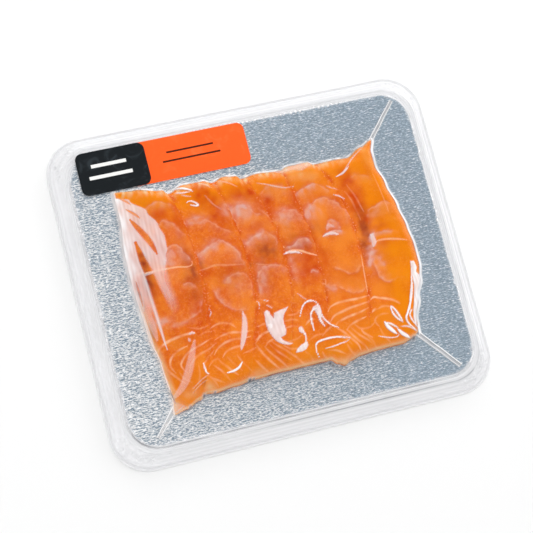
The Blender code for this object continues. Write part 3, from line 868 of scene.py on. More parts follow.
def flesh_fields(number, x, y, across, lines):
    """The fields that the flesh's colour follows, for one slice."""
    first = number == 0
    fifth = number == 4
    last = number == 5
    above_bottom = y - eased(BOTTOM_EDGE, x)
    below_top = eased(TOP_EDGE, x) - y
    milky, fat_and_highlight, red = flake_fields(number, x, y)
    for strength, points in FAT_LINES:
        if points[0][0] < x.max() + 3 and points[-1][0] > x.min() - 12:
            line = near_curve(x + 0.2 * ripples(x, y, 12, 91), y, points, FAT_WIDTH + strength)
            fat_and_highlight = np.maximum(fat_and_highlight, FAT_STRENGTH * strength * line * (0.75 + 0.35 * ripples(x, y, 8, 97)))
    for points, width, strength in CREASES[number]:
        fat_and_highlight = np.maximum(fat_and_highlight, strength * near_curve(x, y, points, width))

    # painted shade in red, and pale specks of painted highlight, along the lines between slices, down to the
    # fat lines
    width = lines[number + 1] - lines[number]
    seam_shade = peak((1 - across) * width, 0, SEAM_WIDTH)
    if not first:
        seam_shade = np.maximum(seam_shade, peak(across * width, 0, SEAM_WIDTH_UNDER))
    seam_shade = seam_shade * (0.45 + 0.4 * ripples(x, y, 8, 61 + number)) * smooth_between(*SEAM_END, y)

    # amber belly meat at the top, less of it at the bottom, and down the right side of the last slice
    amber = 0.9 * smooth_between(*AMBER_TOP, y) + 0.55 * smooth_between(*AMBER_BOTTOM, y)
    if last:
        amber = np.maximum(amber, 0.9 * smooth_between(*AMBER_RIGHT, x))
        amber = np.maximum(amber, 0.5 * smooth_between(-36, -46, y))
    amber = amber * (0.85 + 0.15 * ripples(x, y, 12, 87))

    # the last two slices have lighter meat
    light = 0.25 + 0.12 * smooth_between(-40, -60, y)
    if fifth:
        light = 0.75 * smooth_between(*LIGHT_FIFTH, y)
    if last:
        light = (0.5 + 0.35 * smooth_between(-4, -14, y)) * smooth_between(*LIGHT_RIGHT, x)
    light = light * (0.8 + 0.3 * ripples(x, y, 15, 99 + number))

    # thin translucent rims, streaked along the top
    pale = 0.8 * smooth_between(*RIM_BOTTOM, above_bottom)
    pale = np.maximum(pale, 0.5 * smooth_between(*RIM_TOP, below_top))
    streaks = smooth_between(*RIM_STREAKS, below_top) * (0.3 + 0.45 * ripples(x, y * 0.25, 2.6, 77))
    pale = np.maximum(pale, streaks * smooth_between(72, 40, x))
    pale = np.maximum(pale, spots(x, y, PALE_SPOTS, 6, 75)) * smooth_between(0.1, 0.7, above_bottom)
    if first:
        left_rim = 0.6 * smooth_between(*RIM_LEFT, x - lines[0]) * smooth_between(6, -14, y)
        pale = np.maximum(pale, left_rim)

    # painted shade along the fish's lower edge, in the brown field with the brown meat
    bottom_edge_shade = smooth_between(0.9, 0.2, above_bottom) * (0.3 + 0.5 * ripples(x, y, 13, 89))
    brown = np.maximum(bottom_edge_shade, spots(x, y, BROWN_SPOTS[number], 5, 71 + number))
    fields = {"milky": milky, "fat_and_highlight": fat_and_highlight, "seam_shade": seam_shade, "amber": amber, "pale": pale, "red": red,
              "light": light, "brown": brown}
    return {name: np.clip(values, 0, 1) for name, values in fields.items()}


def build_slice(number, material):
    """One slice: a grid between two lines, domed as the fish is there, with walls down to a flat foot."""
    first = number == 0
    last = number == 5
    columns = round(SLICE_WIDTHS[number] / COLUMN_WIDTH)
    mesh, along_x, along_y = grid_mesh(f"slice_{number + 1}", columns, SLICE_ROWS)
    share = np.interp(along_y, np.arange(SLICE_ROWS + 1) / SLICE_ROWS, thicker_ends(SLICE_ROWS, 0.55))
    lines = side_lines(share)
    wobble = 0 if last else EDGE_WOBBLE * ripples(share * 130, share * 0, 9, 100 + number)
    start = lines[number] - (0 if first else TUCK)
    end = lines[number + 1] + wobble
    closer = thicker_ends(columns, 0.7 if first or last else 0.25)
    x = start + (end - start) * np.interp(along_x, np.arange(columns + 1) / columns, closer)
    y = row_y(x, share)
    across = np.maximum((x - lines[number]) / (lines[number + 1] - lines[number]), 0)
    top = fish_top(x, y, np.minimum(across, 1), lines[0], lines[-1])
    if not last:
        top = top - EDGE_DROP * peak(end - x, 0, EDGE_ROLL)
    if not first:
        top = top - TUCK_DROP * smooth_between(-0.8, -1.9, x - lines[number])
    top = np.maximum(top - FILM_GAP, THINNEST)
    fields = flesh_fields(number, x, y, across, lines)
    write_points(mesh, x, y, FISH_BASE + top + MILKY_RELIEF * fields["milky"])
    for name, values in fields.items():
        write_field(mesh, name, values)
    bm = bmesh.new()
    bm.from_mesh(mesh)
    outline = [edge for edge in bm.edges if edge.is_boundary]
    skirt = bmesh.ops.extrude_edge_only(bm, edges=outline)["geom"]
    foot = [item for item in skirt if isinstance(item, bmesh.types.BMVert)]
    for vert in foot:
        vert.co.z = FISH_BASE * MM
    foot += [item for item in skirt if isinstance(item, bmesh.types.BMEdge) and item.is_boundary]
    bmesh.ops.contextual_create(bm, geom=foot)
    bmesh.ops.recalc_face_normals(bm, faces=bm.faces)
    bm.to_mesh(mesh)
    bm.free()
    place_piece(f"slice_{number + 1}", mesh, material)


FLESH = linear(222, 111, 32)
FLESH_DEEP = linear(210, 82, 14)
FLESH_LIGHT = linear(232, 134, 42)
FLESH_AMBER = linear(230, 134, 0)
FLESH_RED = linear(198, 67, 6)
FLESH_BROWN = linear(150, 56, 30)
FLESH_MILKY = linear(216, 162, 148)
FLESH_FAT_AND_HIGHLIGHT = linear(242, 186, 146)
FLESH_PALE = linear(224, 186, 140)
SEAM_SHADE_RED = linear(208, 84, 24)
SEAM_HIGHLIGHT_SPECK = linear(244, 184, 140)
FLESH_BLEED = (1.0, 0.35, 0.12)  # how far red, green and blue light spread in the flesh
FLESH_BLEED_REACH = 1.6  # where that is 1


def flesh_material():
    material, tree, output = new_material("cured salmon flesh")
    place = object_place(tree)
    broad = noise(tree, place, 62.0, 3.0, 0.55, 0.6)
    cloud = noise(tree, place, 130.0, 4.0, 0.62, 0.8)
    speck = noise(tree, place, 420.0, 2.0, 0.6)
    highlight_specks = noise(tree, place, 900.0, 1.0, 0.5)
    # meat that is mottled at four sizes; the finest marks are painted highlight specks
    colour = FLESH
    for source, low, high, tone in ((cloud, (0.35, 0.1), (0.65, 0.85), FLESH_DEEP),
                                    (broad, (0.5, 0), (0.64, 0.75), FLESH_LIGHT),
                                    (broad, (0.34, 0.5), (0.48, 0), FLESH_RED),
                                    (speck, (0.45, 0), (0.68, 0.5), FLESH_LIGHT),
                                    (highlight_specks, (0.52, 0), (0.72, 0.14), FLESH_FAT_AND_HIGHLIGHT)):
        share = ramp(tree, source, [(low[0], grey(low[1])), (high[0], grey(high[1]))])
        colour = blend_colour(tree, share, colour, tone)
    # then each field's own colour
    mottle = math_node(tree, "MULTIPLY_ADD", speck, 0.9, 0.55)

    def tinted(field, tone, uneven=None):
        share = attribute(tree, field)
        if uneven:
            share = math_node(tree, "MULTIPLY", share, uneven)
        return blend_colour(tree, share, colour, tone)

    colour = tinted("light", FLESH_LIGHT)
    colour = tinted("amber", FLESH_AMBER)
    # red meat, and painted shade just outside the flakes
    colour = tinted("red", FLESH_RED, mottle)
    # brown meat, and painted shade along the fish's lower edge
    colour = tinted("brown", FLESH_BROWN, mottle)
    colour = tinted("milky", FLESH_MILKY, mottle)
    # painted shade along the lines between slices, with painted highlight specks
    colour = tinted("seam_shade", SEAM_SHADE_RED)
    colour = tinted("seam_shade", SEAM_HIGHLIGHT_SPECK, ramp(tree, highlight_specks, [(0.58, grey(0)), (0.7, grey(0.6))]))
    # fat lines and flake edges, and painted highlights along the creases
    colour = tinted("fat_and_highlight", FLESH_FAT_AND_HIGHLIGHT, mottle)
    colour = tinted("pale", FLESH_PALE)
    bump = add_node(tree, "ShaderNodeBump", Strength=0.25, Distance=0.2 * MM, Height=speck)
    shader = add_node(tree, "ShaderNodeBsdfPrincipled", Base_Color=colour, Roughness=0.5,
                      Specular_IOR_Level=0.06, Subsurface_Weight=0.25, Subsurface_Radius=FLESH_BLEED,
                      Subsurface_Scale=FLESH_BLEED_REACH * MM, Normal=bump.outputs[0])
    tree.links.new(shader.outputs[0], output.inputs[0])
    return material


salmon_flesh = flesh_material()
for slice_number in range(6):
    build_slice(slice_number, salmon_flesh)


# ---------------------------------------------------------------------------------------------------
# Film. A thin clear skin, drawn down by vacuum over the fish and the card and sealed to the platform.
# It clings to the fish, stands off a little at its foot, gathers into fine folds where it had too much
# to cover, and is pulled into a ridge from three of the fish's corners to the card's corners.
# ---------------------------------------------------------------------------------------------------
CARD_CORNER = 18.0
FILM_COLUMNS = 290
FILM_ROWS = 226
FOOT_STEPS = [0.35, 0.8, 1.3, 1.9, 2.6, 3.4]  # distance outside the fish's outline
SPREAD_STEPS = 3
EDGE_STEPS = [-1.5, -0.2, 0.35, 0.9, 1.9]  # distance outside the card's edge
OUTER_STEPS = len(FOOT_STEPS) + SPREAD_STEPS + len(EDGE_STEPS)
FILM_LEVEL = 0.12  # over the card
SEAL_LEVEL = 0.07  # over the platform, where the film is sealed to it
FILM_OVER_FISH = 0.1
FILM_WAVE = 0.045
DRAPE_RUN = 2.6  # the film slides from one slice down to the next over this width
FOOT_RUN = 2.4
FOOT_STAND = 0.5
# the film's foot: milky where it stands off the fish, with painted highlight along the outline
FOOT_MILK_AND_HIGHLIGHT_RIGHT = 0.95
FOOT_MILK_AND_HIGHLIGHT_LEFT = 0.5
FOOT_MILK_AND_HIGHLIGHT_TOP = 0.8
FOOT_MILK_AND_HIGHLIGHT_BOTTOM = 0.12
RIM_HIGHLIGHT = 0.7
RIM_HIGHLIGHT_WIDTH = 0.7
HAZE_LIMIT = 0.95
# Folds: points in mm, width, height, and how milky the film is there, which paints their highlights
FOLDS = [
    ([(-87, 10.6), (-80, 10.2), (-72, 10.6), (-66, 10.2)], 1.8, 0.1, 0.4),
    ([(70, 59.6), (75, 62)], 0.8, 0.1, 0.3),
    ([(5.5, 3.2), (9, 4.2), (14, 3.2), (17, 1.8)], 2.0, 0.15, 0.65),
    ([(33, 9.2), (38, 10.1), (43, 8.2)], 2.6, 0.15, 0.55),
    ([(36, 12.4), (38, 15.2), (41, 13.4)], 2.6, 0.1, 0.22),
    ([(-18.5, -20.5), (-17, -23), (-17.6, -26)], 0.8, 0.15, 0.5),
    ([(-14, -21), (-11.5, -22.4), (-10, -21.6)], 0.8, 0.15, 0.45),
    ([(-13, -24.6), (-11, -26), (-9.4, -28)], 0.8, 0.15, 0.5),
    ([(-48, -19), (-47, -21.6), (-48.6, -24)], 0.8, 0.15, 0.4),
    ([(7, -21), (9, -23.4), (12, -26.4)], 0.8, 0.15, 0.4),
    ([(-51, 58.6), (-46, 57.8), (-41, 55.4), (-39.5, 53.8)], 1.9, 0.45, 0.9),
    ([(-50, 55.5), (-46, 54.4), (-41.5, 54)], 1.2, 0.22, 0.7),
    ([(-47, 53.4), (-44, 51.8), (-41.5, 51)], 0.9, 0.2, 0.4),
    ([(-45, 47.8), (-42, 48.2), (-39, 46), (-38.6, 44.4), (-40.6, 44.9), (-43.5, 46.2)], 1.3, 0.3, 0.85),
    ([(-35, 59), (-31, 57), (-28, 54)], 1.0, 0.2, 0.3),
    ([(-24, 58), (-17, 55), (-12, 51)], 0.8, 0.2, 0.25),
    ([(0, 51), (6, 48.6), (12, 45.8), (17, 44), (23, 43.6)], 1.0, 0.22, 0.36),
    ([(51, 44.3), (56, 45.8), (60.5, 49)], 1.6, 0.3, 0.6),
    ([(56, 46.5), (60, 49.8), (66, 55), (74, 60)], 1.0, 0.2, 0.35),
    ([(46, 33.4), (49, 32), (52.5, 29)], 1.0, 0.2, 0.6),
    ([(43, 40), (46, 38), (50, 36)], 0.8, 0.15, 0.35), ([(-33, 50), (-29, 43), (-25, 39)], 0.8, 0.2, 0.2),
    ([(-28, -25.4), (-28.2, -31), (-29.8, -37), (-31.6, -41.4), (-34.6, -47.6)], 4.6, 0.4, 0.5),
    ([(4.2, -42.5), (5.8, -47), (5.6, -51), (3, -55)], 1.4, 0.35, 0.8),
    ([(5.6, -36.5), (8, -31.8), (10.6, -28.8), (14.4, -28), (17.6, -29.6), (19, -33.5)], 1.2, 0.25, 0.8),
    ([(11.8, -46.6), (12, -40), (13, -35.6), (16, -33.4), (18.4, -35)], 1.4, 0.4, 0.85),
    ([(17, -36), (17.6, -41), (19, -45.4)], 1.9, 0.4, 0.8),
    ([(19.2, -33), (19.4, -39), (22.4, -44.4), (27.6, -48)], 1.3, 0.3, 0.75),
    ([(11.2, -62.6), (10.2, -58), (11.6, -54.4), (16, -53.2), (24, -53.2), (32.8, -55.6)], 1.5, 0.35,
     0.85),
    ([(16, -58.6), (22, -58.4), (29.6, -57.2)], 1.0, 0.25, 0.75),
    ([(32.8, -55.8), (30, -57.4), (24, -58)], 0.9, 0.2, 0.6),
    ([(-46.4, -59.3), (-42, -59), (-38.4, -57.6), (-36, -55)], 1.8, 0.4, 0.95),
    ([(-58.8, -49.6), (-59, -53), (-58.4, -56.4), (-57, -57.6)], 1.4, 0.35, 0.85),
    ([(-57, -57.6), (-62, -59.6), (-68.4, -63.6)], 0.8, 0.2, 0.3),
    ([(-58, -60.4), (-63, -62), (-69, -66)], 0.8, 0.2, 0.22),
    ([(-61, -36), (-64.4, -44), (-68.6, -53), (-73.6, -60.6), (-81.6, -67)], 6.2, 0.6, 0.23),
    ([(-87.8, -1), (-86.8, -16), (-86, -30), (-85.2, -42), (-84, -54), (-83.6, -64)], 4.2, 0.2, 0.5),
    ([(-84, -3), (-83.4, -13), (-82.4, -22), (-81.8, -30)], 5.5, 0.1, 0.24),
    ([(-81.5, -66.5), (-82.6, -70), (-83, -74.4)], 1.4, 0.3, 0.5),
    ([(-76, -72), (-79.6, -74), (-83, -75)], 1.0, 0.2, 0.4),
    ([(-63.4, -31.6), (-61.4, -31), (-59.6, -31.6)], 2.0, 0.3, 0.5),
    ([(-64, -34), (-63.6, -36)], 2.2, 0.3, 0.4),
    ([(63, -42), (65.2, -45.4), (66.8, -49.4), (68.2, -53.8)], 1.5, 0.3, 0.95),
    ([(63, -42.4), (63, -46), (64.8, -50), (68, -53.6)], 1.5, 0.3, 0.95),
    ([(56.6, -51), (58.4, -55), (62.4, -59.8)], 3.0, 0.5, 0.95),
    ([(57, -51.4), (60.6, -53.4), (64, -56.4)], 1.5, 0.4, 0.85),
    ([(63.6, -57), (66.4, -60.6), (70.6, -63.8)], 2.8, 0.4, 0.95),
    ([(50, -58.4), (55, -60.4), (60, -61.6), (63.4, -61), (64, -58)], 0.9, 0.2, 0.7),
    ([(66, -56), (70.6, -57), (75.6, -60.6)], 1.2, 0.3, 0.7),
    ([(80.6, -31), (77.4, -40), (73, -48), (70.8, -51.6), (71.8, -56), (76, -60.4)], 1.6, 0.4, 0.92),
    ([(76.4, -47), (73.6, -50), (74.6, -54.6), (78, -59)], 1.3, 0.3, 0.85),
    ([(82.4, -22), (79.8, -32), (76.4, -41), (74.4, -48)], 1.4, 0.35, 0.85),
]
# Broad folds that lie over: outline of each, its height and how milky, which paints its highlight
PATCHES = [
    ([(62, 4.2), (65, 4.6), (65.4, -1.4), (63.4, -3.8), (61.6, -4.2), (62, -0.8)], 0.1, 0.5),
    ([(-15.2, -28.6), (-13.4, -27.6), (-12.1, -28.8), (-11.6, -31), (-10.5, -33.4), (-9.4, -30.4),
      (-5, -29.4), (0.2, -28.6), (-1.6, -30.6), (-3.6, -32.6), (-4.7, -35.2), (-5, -38.4), (-4.8, -42),
      (-5.6, -45), (-9, -46), (-8, -48), (-5.5, -49.8), (-2.6, -51), (-5, -51.6), (-9, -50.2),
      (-12.2, -47.6), (-14.2, -44), (-15.6, -40), (-16, -36)], 0.7, 0.76),
    ([(-15.8, -36.2), (-13.4, -36), (-12, -37.2), (-12.4, -39.2), (-14.6, -39.6)], 0.7, 0.95),
    ([(6.2, -52), (6.2, -54.4), (4.4, -56.4), (1.6, -57.2), (-2.4, -57), (-0.8, -54.8), (2, -53)], 0.5,
     0.82),
    ([(2.8, -43), (4, -42), (5.4, -42.4), (5.8, -46), (4.4, -46.6), (2.8, -45)], 0.3, 0.72),
    ([(14, -33.2), (15.4, -32), (17.6, -31.2), (19.4, -32), (19.7, -36), (19, -39.4), (17.6, -40.6),
      (16.4, -37), (15.6, -34.8)], 0.5, 0.74),
    ([(83, -17.6), (85.6, -18), (86.6, -22), (85.2, -25), (87.4, -27), (87, -32), (84.6, -38),
      (81.4, -45), (78.4, -52), (76.8, -57), (75.6, -57.6), (75.6, -52), (77.4, -46), (79.4, -40),
      (81.2, -33), (82, -25)], 0.6, 0.88),
    ([(13, 55.6), (20, 56.6), (30, 58), (36, 58.2), (40.4, 55.6), (35, 54.2), (31, 52.6), (26, 54.4),
      (17, 54.2)], 0.2, 0.24),
    ([(-82.6, -65), (-80.4, -68.4), (-75.4, -71.6), (-73.4, -73.6), (-78, -75.2), (-82.6, -76)], 0.2,
     0.2),
    ([(-81.8, -69.4), (-79.6, -71), (-77.4, -73.6), (-79.6, -74.8), (-82.4, -75)], 0.3, 0.25),
]
# Where the film stands off the left flank, a painted highlight as milky film: its right-hand limit as (y, x),
# then where it touches the flesh again and the highlight breaks, and a fine crease in it, also painted
# highlight, as points, width and strength
STAND_OFF = [
    (-24, -80), (-19, -70), (-15, -66), (-9, -66.4), (0, -67.5), (9.5, -67.3), (17, -65.4), (22.7, -63.4),
    (30, -63), (38, -65.2), (47.6, -69.8), (57.3, -78), (62, -87),
]
STAND_OFF_HIGHLIGHT = 0.62
STAND_OFF_SPAN = (-21, -4, 61, 63.5)  # y where it starts, is full, fades and ends
TOUCHES = [
    ([(-84, 60.6), (-80.4, 57.6), (-78, 54.6)], 2.0, 0.7),
    ([(-81.4, 52.6), (-77.4, 48.6), (-74.4, 44.6)], 2.2, 0.75),
    ([(-80.4, 45.6), (-76.4, 37.6), (-72.4, 29), (-70, 20.6)], 5.0, 0.95),
    ([(-80.6, 31), (-79, 19), (-77.4, 10), (-76.2, 1), (-74.6, -10), (-73, -18), (-71, -30)], 8.0, 1.0),
    ([(-77, 4), (-75.4, -4), (-74, -14), (-72, -24), (-69, -34)], 11.0, 1.0),
    ([(-85.8, 8), (-85.5, 0), (-85.2, -8)], 2.0, 0.6),
]
FLANK_CREASE = ([(-82.4, 24), (-80.8, 11), (-79.8, -4), (-78.8, -17), (-78, -31), (-77.4, -37)], 3.4, 0.6)
# Painted shadow spots at the fish's lower edge: x, y, reach and strength; and a dark line at its lower left
# corner
FOOT_SHADOW_SPOTS = [
    (-62.4, -69.2, 1.2, 1.0), (-55.5, -68.6, 1.0, 0.8), (-33, -66.4, 1.3, 1.0), (-30.6, -66.4, 1.0, 0.9),
    (-85, -60, 0.6, 0.5), (18.6, -67.4, 1.3, 1.0), (20, -69, 1.1, 1.0), (74, -64.4, 1.5, 0.9),
    (-86.4, -37, 0.9, 0.9), (-86, -44, 0.7, 0.7), (-72, -73.8, 1.3, 0.7),
]
CORNER_MARK = ([(-81.4, -61), (-81, -65), (-80.2, -69.5)], 1.3, 0.9)
UNDER_FISH_SHADOW = (0.45, 0.45)  # distance and half width of the painted shadow line at the foot of the fish's lower edge
CARD_SHADOW_LINE = (0.95, 0.35)  # and of the painted shadow line just outside the card
CARD_LINE_SHADE = 0.75
CARD_SHADOW_CORNER = (-103, -85, 13)  # painted shadow darkest there: x, y and reach


def steps_in_and_out(inner_count, position):
    """Splits a place along the film into its step across the fish and its steps outside it."""
    step = np.round(position * (inner_count + 2 * OUTER_STEPS)).astype(int)
    before = np.maximum(OUTER_STEPS - step, 0)
    after = np.maximum(step - OUTER_STEPS - inner_count, 0)
    inner = np.clip(step - OUTER_STEPS, 0, inner_count)
    return inner, before, after


def outside_place(edge, steps, card_half, sign):
    """Coordinates outside the outline: a foot close to the fish, then a spread to the card's edge."""
    foot = len(FOOT_STEPS)
    near = np.interp(steps, np.arange(foot + 1), [0.0, *FOOT_STEPS])
    start = edge * sign + FOOT_STEPS[-1]
    end = card_half + EDGE_STEPS[0]
    spread = start + (end - start) * np.clip((steps - foot) / (SPREAD_STEPS + 1), 0, 1)
    far = card_half + np.interp(steps - foot - SPREAD_STEPS, np.arange(1, len(EDGE_STEPS) + 1), EDGE_STEPS)
    place = np.where(steps <= foot, edge * sign + near, np.where(steps <= foot + SPREAD_STEPS, spread, far))
    return place * sign


def round_corners(x, y):
    """Draws the corners of a square-cornered sheet in to the card's corner radius, and says how far each
    place then lies outside the card's edge."""
    corner_x = np.maximum(np.abs(x) - (CARD_LENGTH / 2 - CARD_CORNER), 0)
    corner_y = np.maximum(np.abs(y) - (CARD_WIDTH / 2 - CARD_CORNER), 0)
    larger = np.maximum(corner_x, corner_y)
    rounding = larger / np.maximum(np.hypot(corner_x, corner_y), 1e-6)
    both_ways = (corner_x > 0) & (corner_y > 0)
    x = np.where(both_ways, np.sign(x) * (CARD_LENGTH / 2 - CARD_CORNER + corner_x * rounding), x)
    y = np.where(both_ways, np.sign(y) * (CARD_WIDTH / 2 - CARD_CORNER + corner_y * rounding), y)
    beyond_sides = np.maximum(np.abs(x) - CARD_LENGTH / 2, np.abs(y) - CARD_WIDTH / 2)
    return x, y, np.where(both_ways, larger - CARD_CORNER, beyond_sides)


def inside_outline(x, y, closed):
    """Whether each place lies inside a closed line of points."""
    inside = np.zeros(x.shape, bool)
    for start, end in zip(closed, closed[1:]):
        spans = (start[1] > y) != (end[1] > y)
        slope = (end[0] - start[0]) / (end[1] - start[1])
        inside ^= spans & (x < start[0] + slope * (y - start[1]))
    return inside


def stand_off_highlight(x, y, left):
    """How milky the film is where it stands off the left flank, most at the outline: a painted highlight."""
    softness = 0.5 + 2.4 * smooth_between(18, 2, y)
    share = smooth_between(1, -1, (x - eased(STAND_OFF, y)) / softness)
    share = share * band(y, *STAND_OFF_SPAN)
    share = share * (0.6 + 0.4 * smooth_between(-5, 25, y)) * (0.87 + 0.13 * ripples(x * 4, y * 0.6, 9, 321))
    for points, width, strength in TOUCHES:
        share = share * (1 - strength * np.clip(2 * near_curve(x, y, points, width), 0, 1))
    milk_and_highlight = STAND_OFF_HIGHLIGHT * share * (0.92 + 0.85 * np.exp((left - x) / 4))
    points, width, strength = FLANK_CREASE
    return np.maximum(milk_and_highlight, strength * near_curve(x, y, points, width))


def fold_fields(x, y, milk_and_highlight):
    """Height of the folds, and the haze with their painted highlights added."""
    height = np.zeros_like(x)
    for points, width, fold_height, milky in FOLDS:
        near = near_curve(x, y, points, width)
        height = np.maximum(height, near * fold_height)
        milk_and_highlight = np.maximum(milk_and_highlight, milky * np.clip(2.6 * near, 0, 1))
    streaks = 0.9 + 0.1 * ripples(x, y * 0.3, 2.4, 331)
    for outline, patch_height, milky in PATCHES:
        closed = [*outline, outline[0]]
        distance, _, _ = curve_distance(x, y, closed)
        depth = np.where(inside_outline(x, y, closed), distance, -distance)
        height = np.maximum(height, patch_height * smooth_between(0, 1.6, depth))
        milk_and_highlight = np.maximum(milk_and_highlight, milky * smooth_between(-0.3, 0.4, depth) * streaks)
    return height, milk_and_highlight


# over the fish: a grid between its outlines, at the height of the slice below each place
film_mesh, film_along, film_across = grid_mesh(
    "film", FILM_COLUMNS + 2 * OUTER_STEPS, FILM_ROWS + 2 * OUTER_STEPS)
column, left_steps, right_steps = steps_in_and_out(FILM_COLUMNS, film_along)
row, bottom_steps, top_steps = steps_in_and_out(FILM_ROWS, film_across)
film_share = thicker_ends(FILM_ROWS, 0.5)[row]
film_lines = np.stack(side_lines(film_share))
left = film_lines[0]
right = film_lines[-1]
edge_x = left + (right - left) * thicker_ends(FILM_COLUMNS, 0.45)[column]
edge_y = row_y(edge_x, film_share)
slice_index = (edge_x > film_lines[1:-1]).sum(0)
every = np.arange(len(edge_x))
slice_left = film_lines[slice_index, every]
slice_right = film_lines[slice_index + 1, every]
film_within = (edge_x - slice_left) / (slice_right - slice_left)
drape = np.where(slice_index > 0, peak(np.maximum(edge_x - slice_left, 0), 0, DRAPE_RUN), 0)
film_within = film_within + (1 - film_within) * drape
to_side = np.minimum(edge_x - left, right - edge_x)
# painted highlights, as milky film: where it stands off the left flank, on the folds, and along the outline
fold_height, fish_highlight = fold_fields(edge_x, edge_y, stand_off_highlight(edge_x, edge_y, left))
fish_highlight = np.maximum(fish_highlight, RIM_HIGHLIGHT * peak(to_side, 0, RIM_HIGHLIGHT_WIDTH))
film_top = fish_top(edge_x, edge_y, film_within, left, right) + fold_height
film_top = film_top + FILM_WAVE * ripples(edge_x, edge_y, 7, 301) + FOOT_STAND * np.exp(-to_side / 1.2)
fish_z = FISH_BASE + film_top + FILM_OVER_FISH

# outside the fish: down to the card, flat across it, and down over its edge to the platform
film_x = np.where(left_steps > 0, outside_place(edge_x, left_steps, CARD_LENGTH / 2, -1), edge_x)
film_x = np.where(right_steps > 0, outside_place(edge_x, right_steps, CARD_LENGTH / 2, 1), film_x)
film_y = np.where(bottom_steps > 0, outside_place(edge_y, bottom_steps, CARD_WIDTH / 2, -1), edge_y)
film_y = np.where(top_steps > 0, outside_place(edge_y, top_steps, CARD_WIDTH / 2, 1), film_y)
film_x, film_y, beyond = round_corners(film_x, film_y)
foot_distance = np.hypot(film_x - edge_x, film_y - edge_y)
foot_fall = np.clip(1 - foot_distance / FOOT_RUN, 0, 1) ** 2
level = CARD_TOP + FILM_LEVEL + 0.02 * ripples(film_x, film_y, 12, 305)
level = level - smooth_between(0.0, 1.3, beyond) * (CARD_TOP + FILM_LEVEL - PLATFORM_TOP - SEAL_LEVEL)
outside = (left_steps + right_steps + bottom_steps + top_steps) > 0
film_z = np.where(outside, level + (fish_z - CARD_TOP - FILM_LEVEL) * foot_fall, fish_z)
write_points(film_mesh, film_x, film_y, film_z)

# milky film and painted highlight at the fish's foot, broken along the top and fading down the left
at_top = (top_steps > 0) & (left_steps + right_steps == 0)
foot_milk_and_highlight = np.select([right_steps > 0, left_steps > 0, at_top],
                      [FOOT_MILK_AND_HIGHLIGHT_RIGHT, FOOT_MILK_AND_HIGHLIGHT_LEFT, FOOT_MILK_AND_HIGHLIGHT_TOP], FOOT_MILK_AND_HIGHLIGHT_BOTTOM)
foot_milk_and_highlight = foot_milk_and_highlight * (0.9 + 0.15 * ripples(film_x, film_y, 21, 311))
foot_milk_and_highlight = foot_milk_and_highlight * np.where(left_steps > 0, 0.5 + 0.5 * smooth_between(-45, -5, film_y), 1)
foot_milk_and_highlight = foot_milk_and_highlight * smooth_between(FOOT_RUN + 0.2, FOOT_RUN - 0.9, foot_distance)
broken = np.clip(0.75 + 0.5 * ripples(film_x, film_y, 7, 319), 0.3, 1)
foot_milk_and_highlight = foot_milk_and_highlight * np.where(at_top, broken * smooth_between(2.0, 0.9, foot_distance), 1)

# milky flecks where the film is pressed over the card's edge, and a full line along the bottom
flecks = ripples(film_x, film_y, 2.6, 312) * (0.5 + 0.5 * ripples(film_x, film_y, 23, 313))
pressed = band(beyond, -1.2, -0.1, 0.9, 1.9) * np.clip(0.25 + 0.6 * flecks, 0, 0.85)
foot_milk_and_highlight = foot_milk_and_highlight + pressed * smooth_between(-93, -90, film_y)
foot_milk_and_highlight = foot_milk_and_highlight + 0.85 * peak(beyond, 0.2, 0.5) * smooth_between(-90, -93, film_y)

# painted shadow lines: broken along the foot of the fish's lower edge, and just outside the card's lower edge
under_fish_shadow = (bottom_steps > 0) * peak(foot_distance, *UNDER_FISH_SHADOW) * band(film_x, -84, -79, 20, 28)
under_fish_shadow = under_fish_shadow * np.clip(0.9 + 0.35 * ripples(film_x, film_y, 13, 317), 0, 1)
for middle_x, middle_y, reach, strength in FOOT_SHADOW_SPOTS:
    spot = strength * peak(np.hypot(film_x - middle_x, film_y - middle_y), 0, reach)
    under_fish_shadow = np.maximum(under_fish_shadow, spot)
corner_x, corner_y, corner_reach = CARD_SHADOW_CORNER
bottom_shadow = CARD_LINE_SHADE * np.clip(0.8 + 0.4 * ripples(film_x, film_y, 37, 323), 0, 1)
bottom_shadow = bottom_shadow * smooth_between(-90, -92, film_y)
card_shadow_line = np.maximum(peak(np.hypot(film_x - corner_x, film_y - corner_y), 0, corner_reach), bottom_shadow)
card_shadow_line = card_shadow_line * peak(beyond, *CARD_SHADOW_LINE)
points, width, strength = CORNER_MARK
dark_mark = strength * near_curve(film_x, film_y, points, width)
painted_shade = np.clip(np.maximum(np.maximum(under_fish_shadow, card_shadow_line), dark_mark), 0, 1)
film_milk_and_highlight = np.clip(np.where(outside, foot_milk_and_highlight, fish_highlight), 0, HAZE_LIMIT)
write_field(film_mesh, "milk_and_highlight", np.maximum(film_milk_and_highlight, HAZE_LIMIT * painted_shade))
write_field(film_mesh, "painted_shade", painted_shade)

FILM_TINT = (0.985, 0.985, 0.985, 1)
FOLDED_TINT = (0.84, 0.8, 0.77, 1)
FILM_ROUGHNESS = 0.045
FILM_SHADE_GREY = linear(44, 52, 66)
FILM_GLOW = 0.05
skin_film = clear_sheet_material("skin film", FILM_TINT, FILM_ROUGHNESS, FILM_SHADE_GREY, FILM_GLOW)
folded_film = clear_sheet_material("folded film", FOLDED_TINT, FILM_ROUGHNESS, FILM_SHADE_GREY, FILM_GLOW)
place_piece("film", film_mesh, skin_film, ["sealed_salmon"])

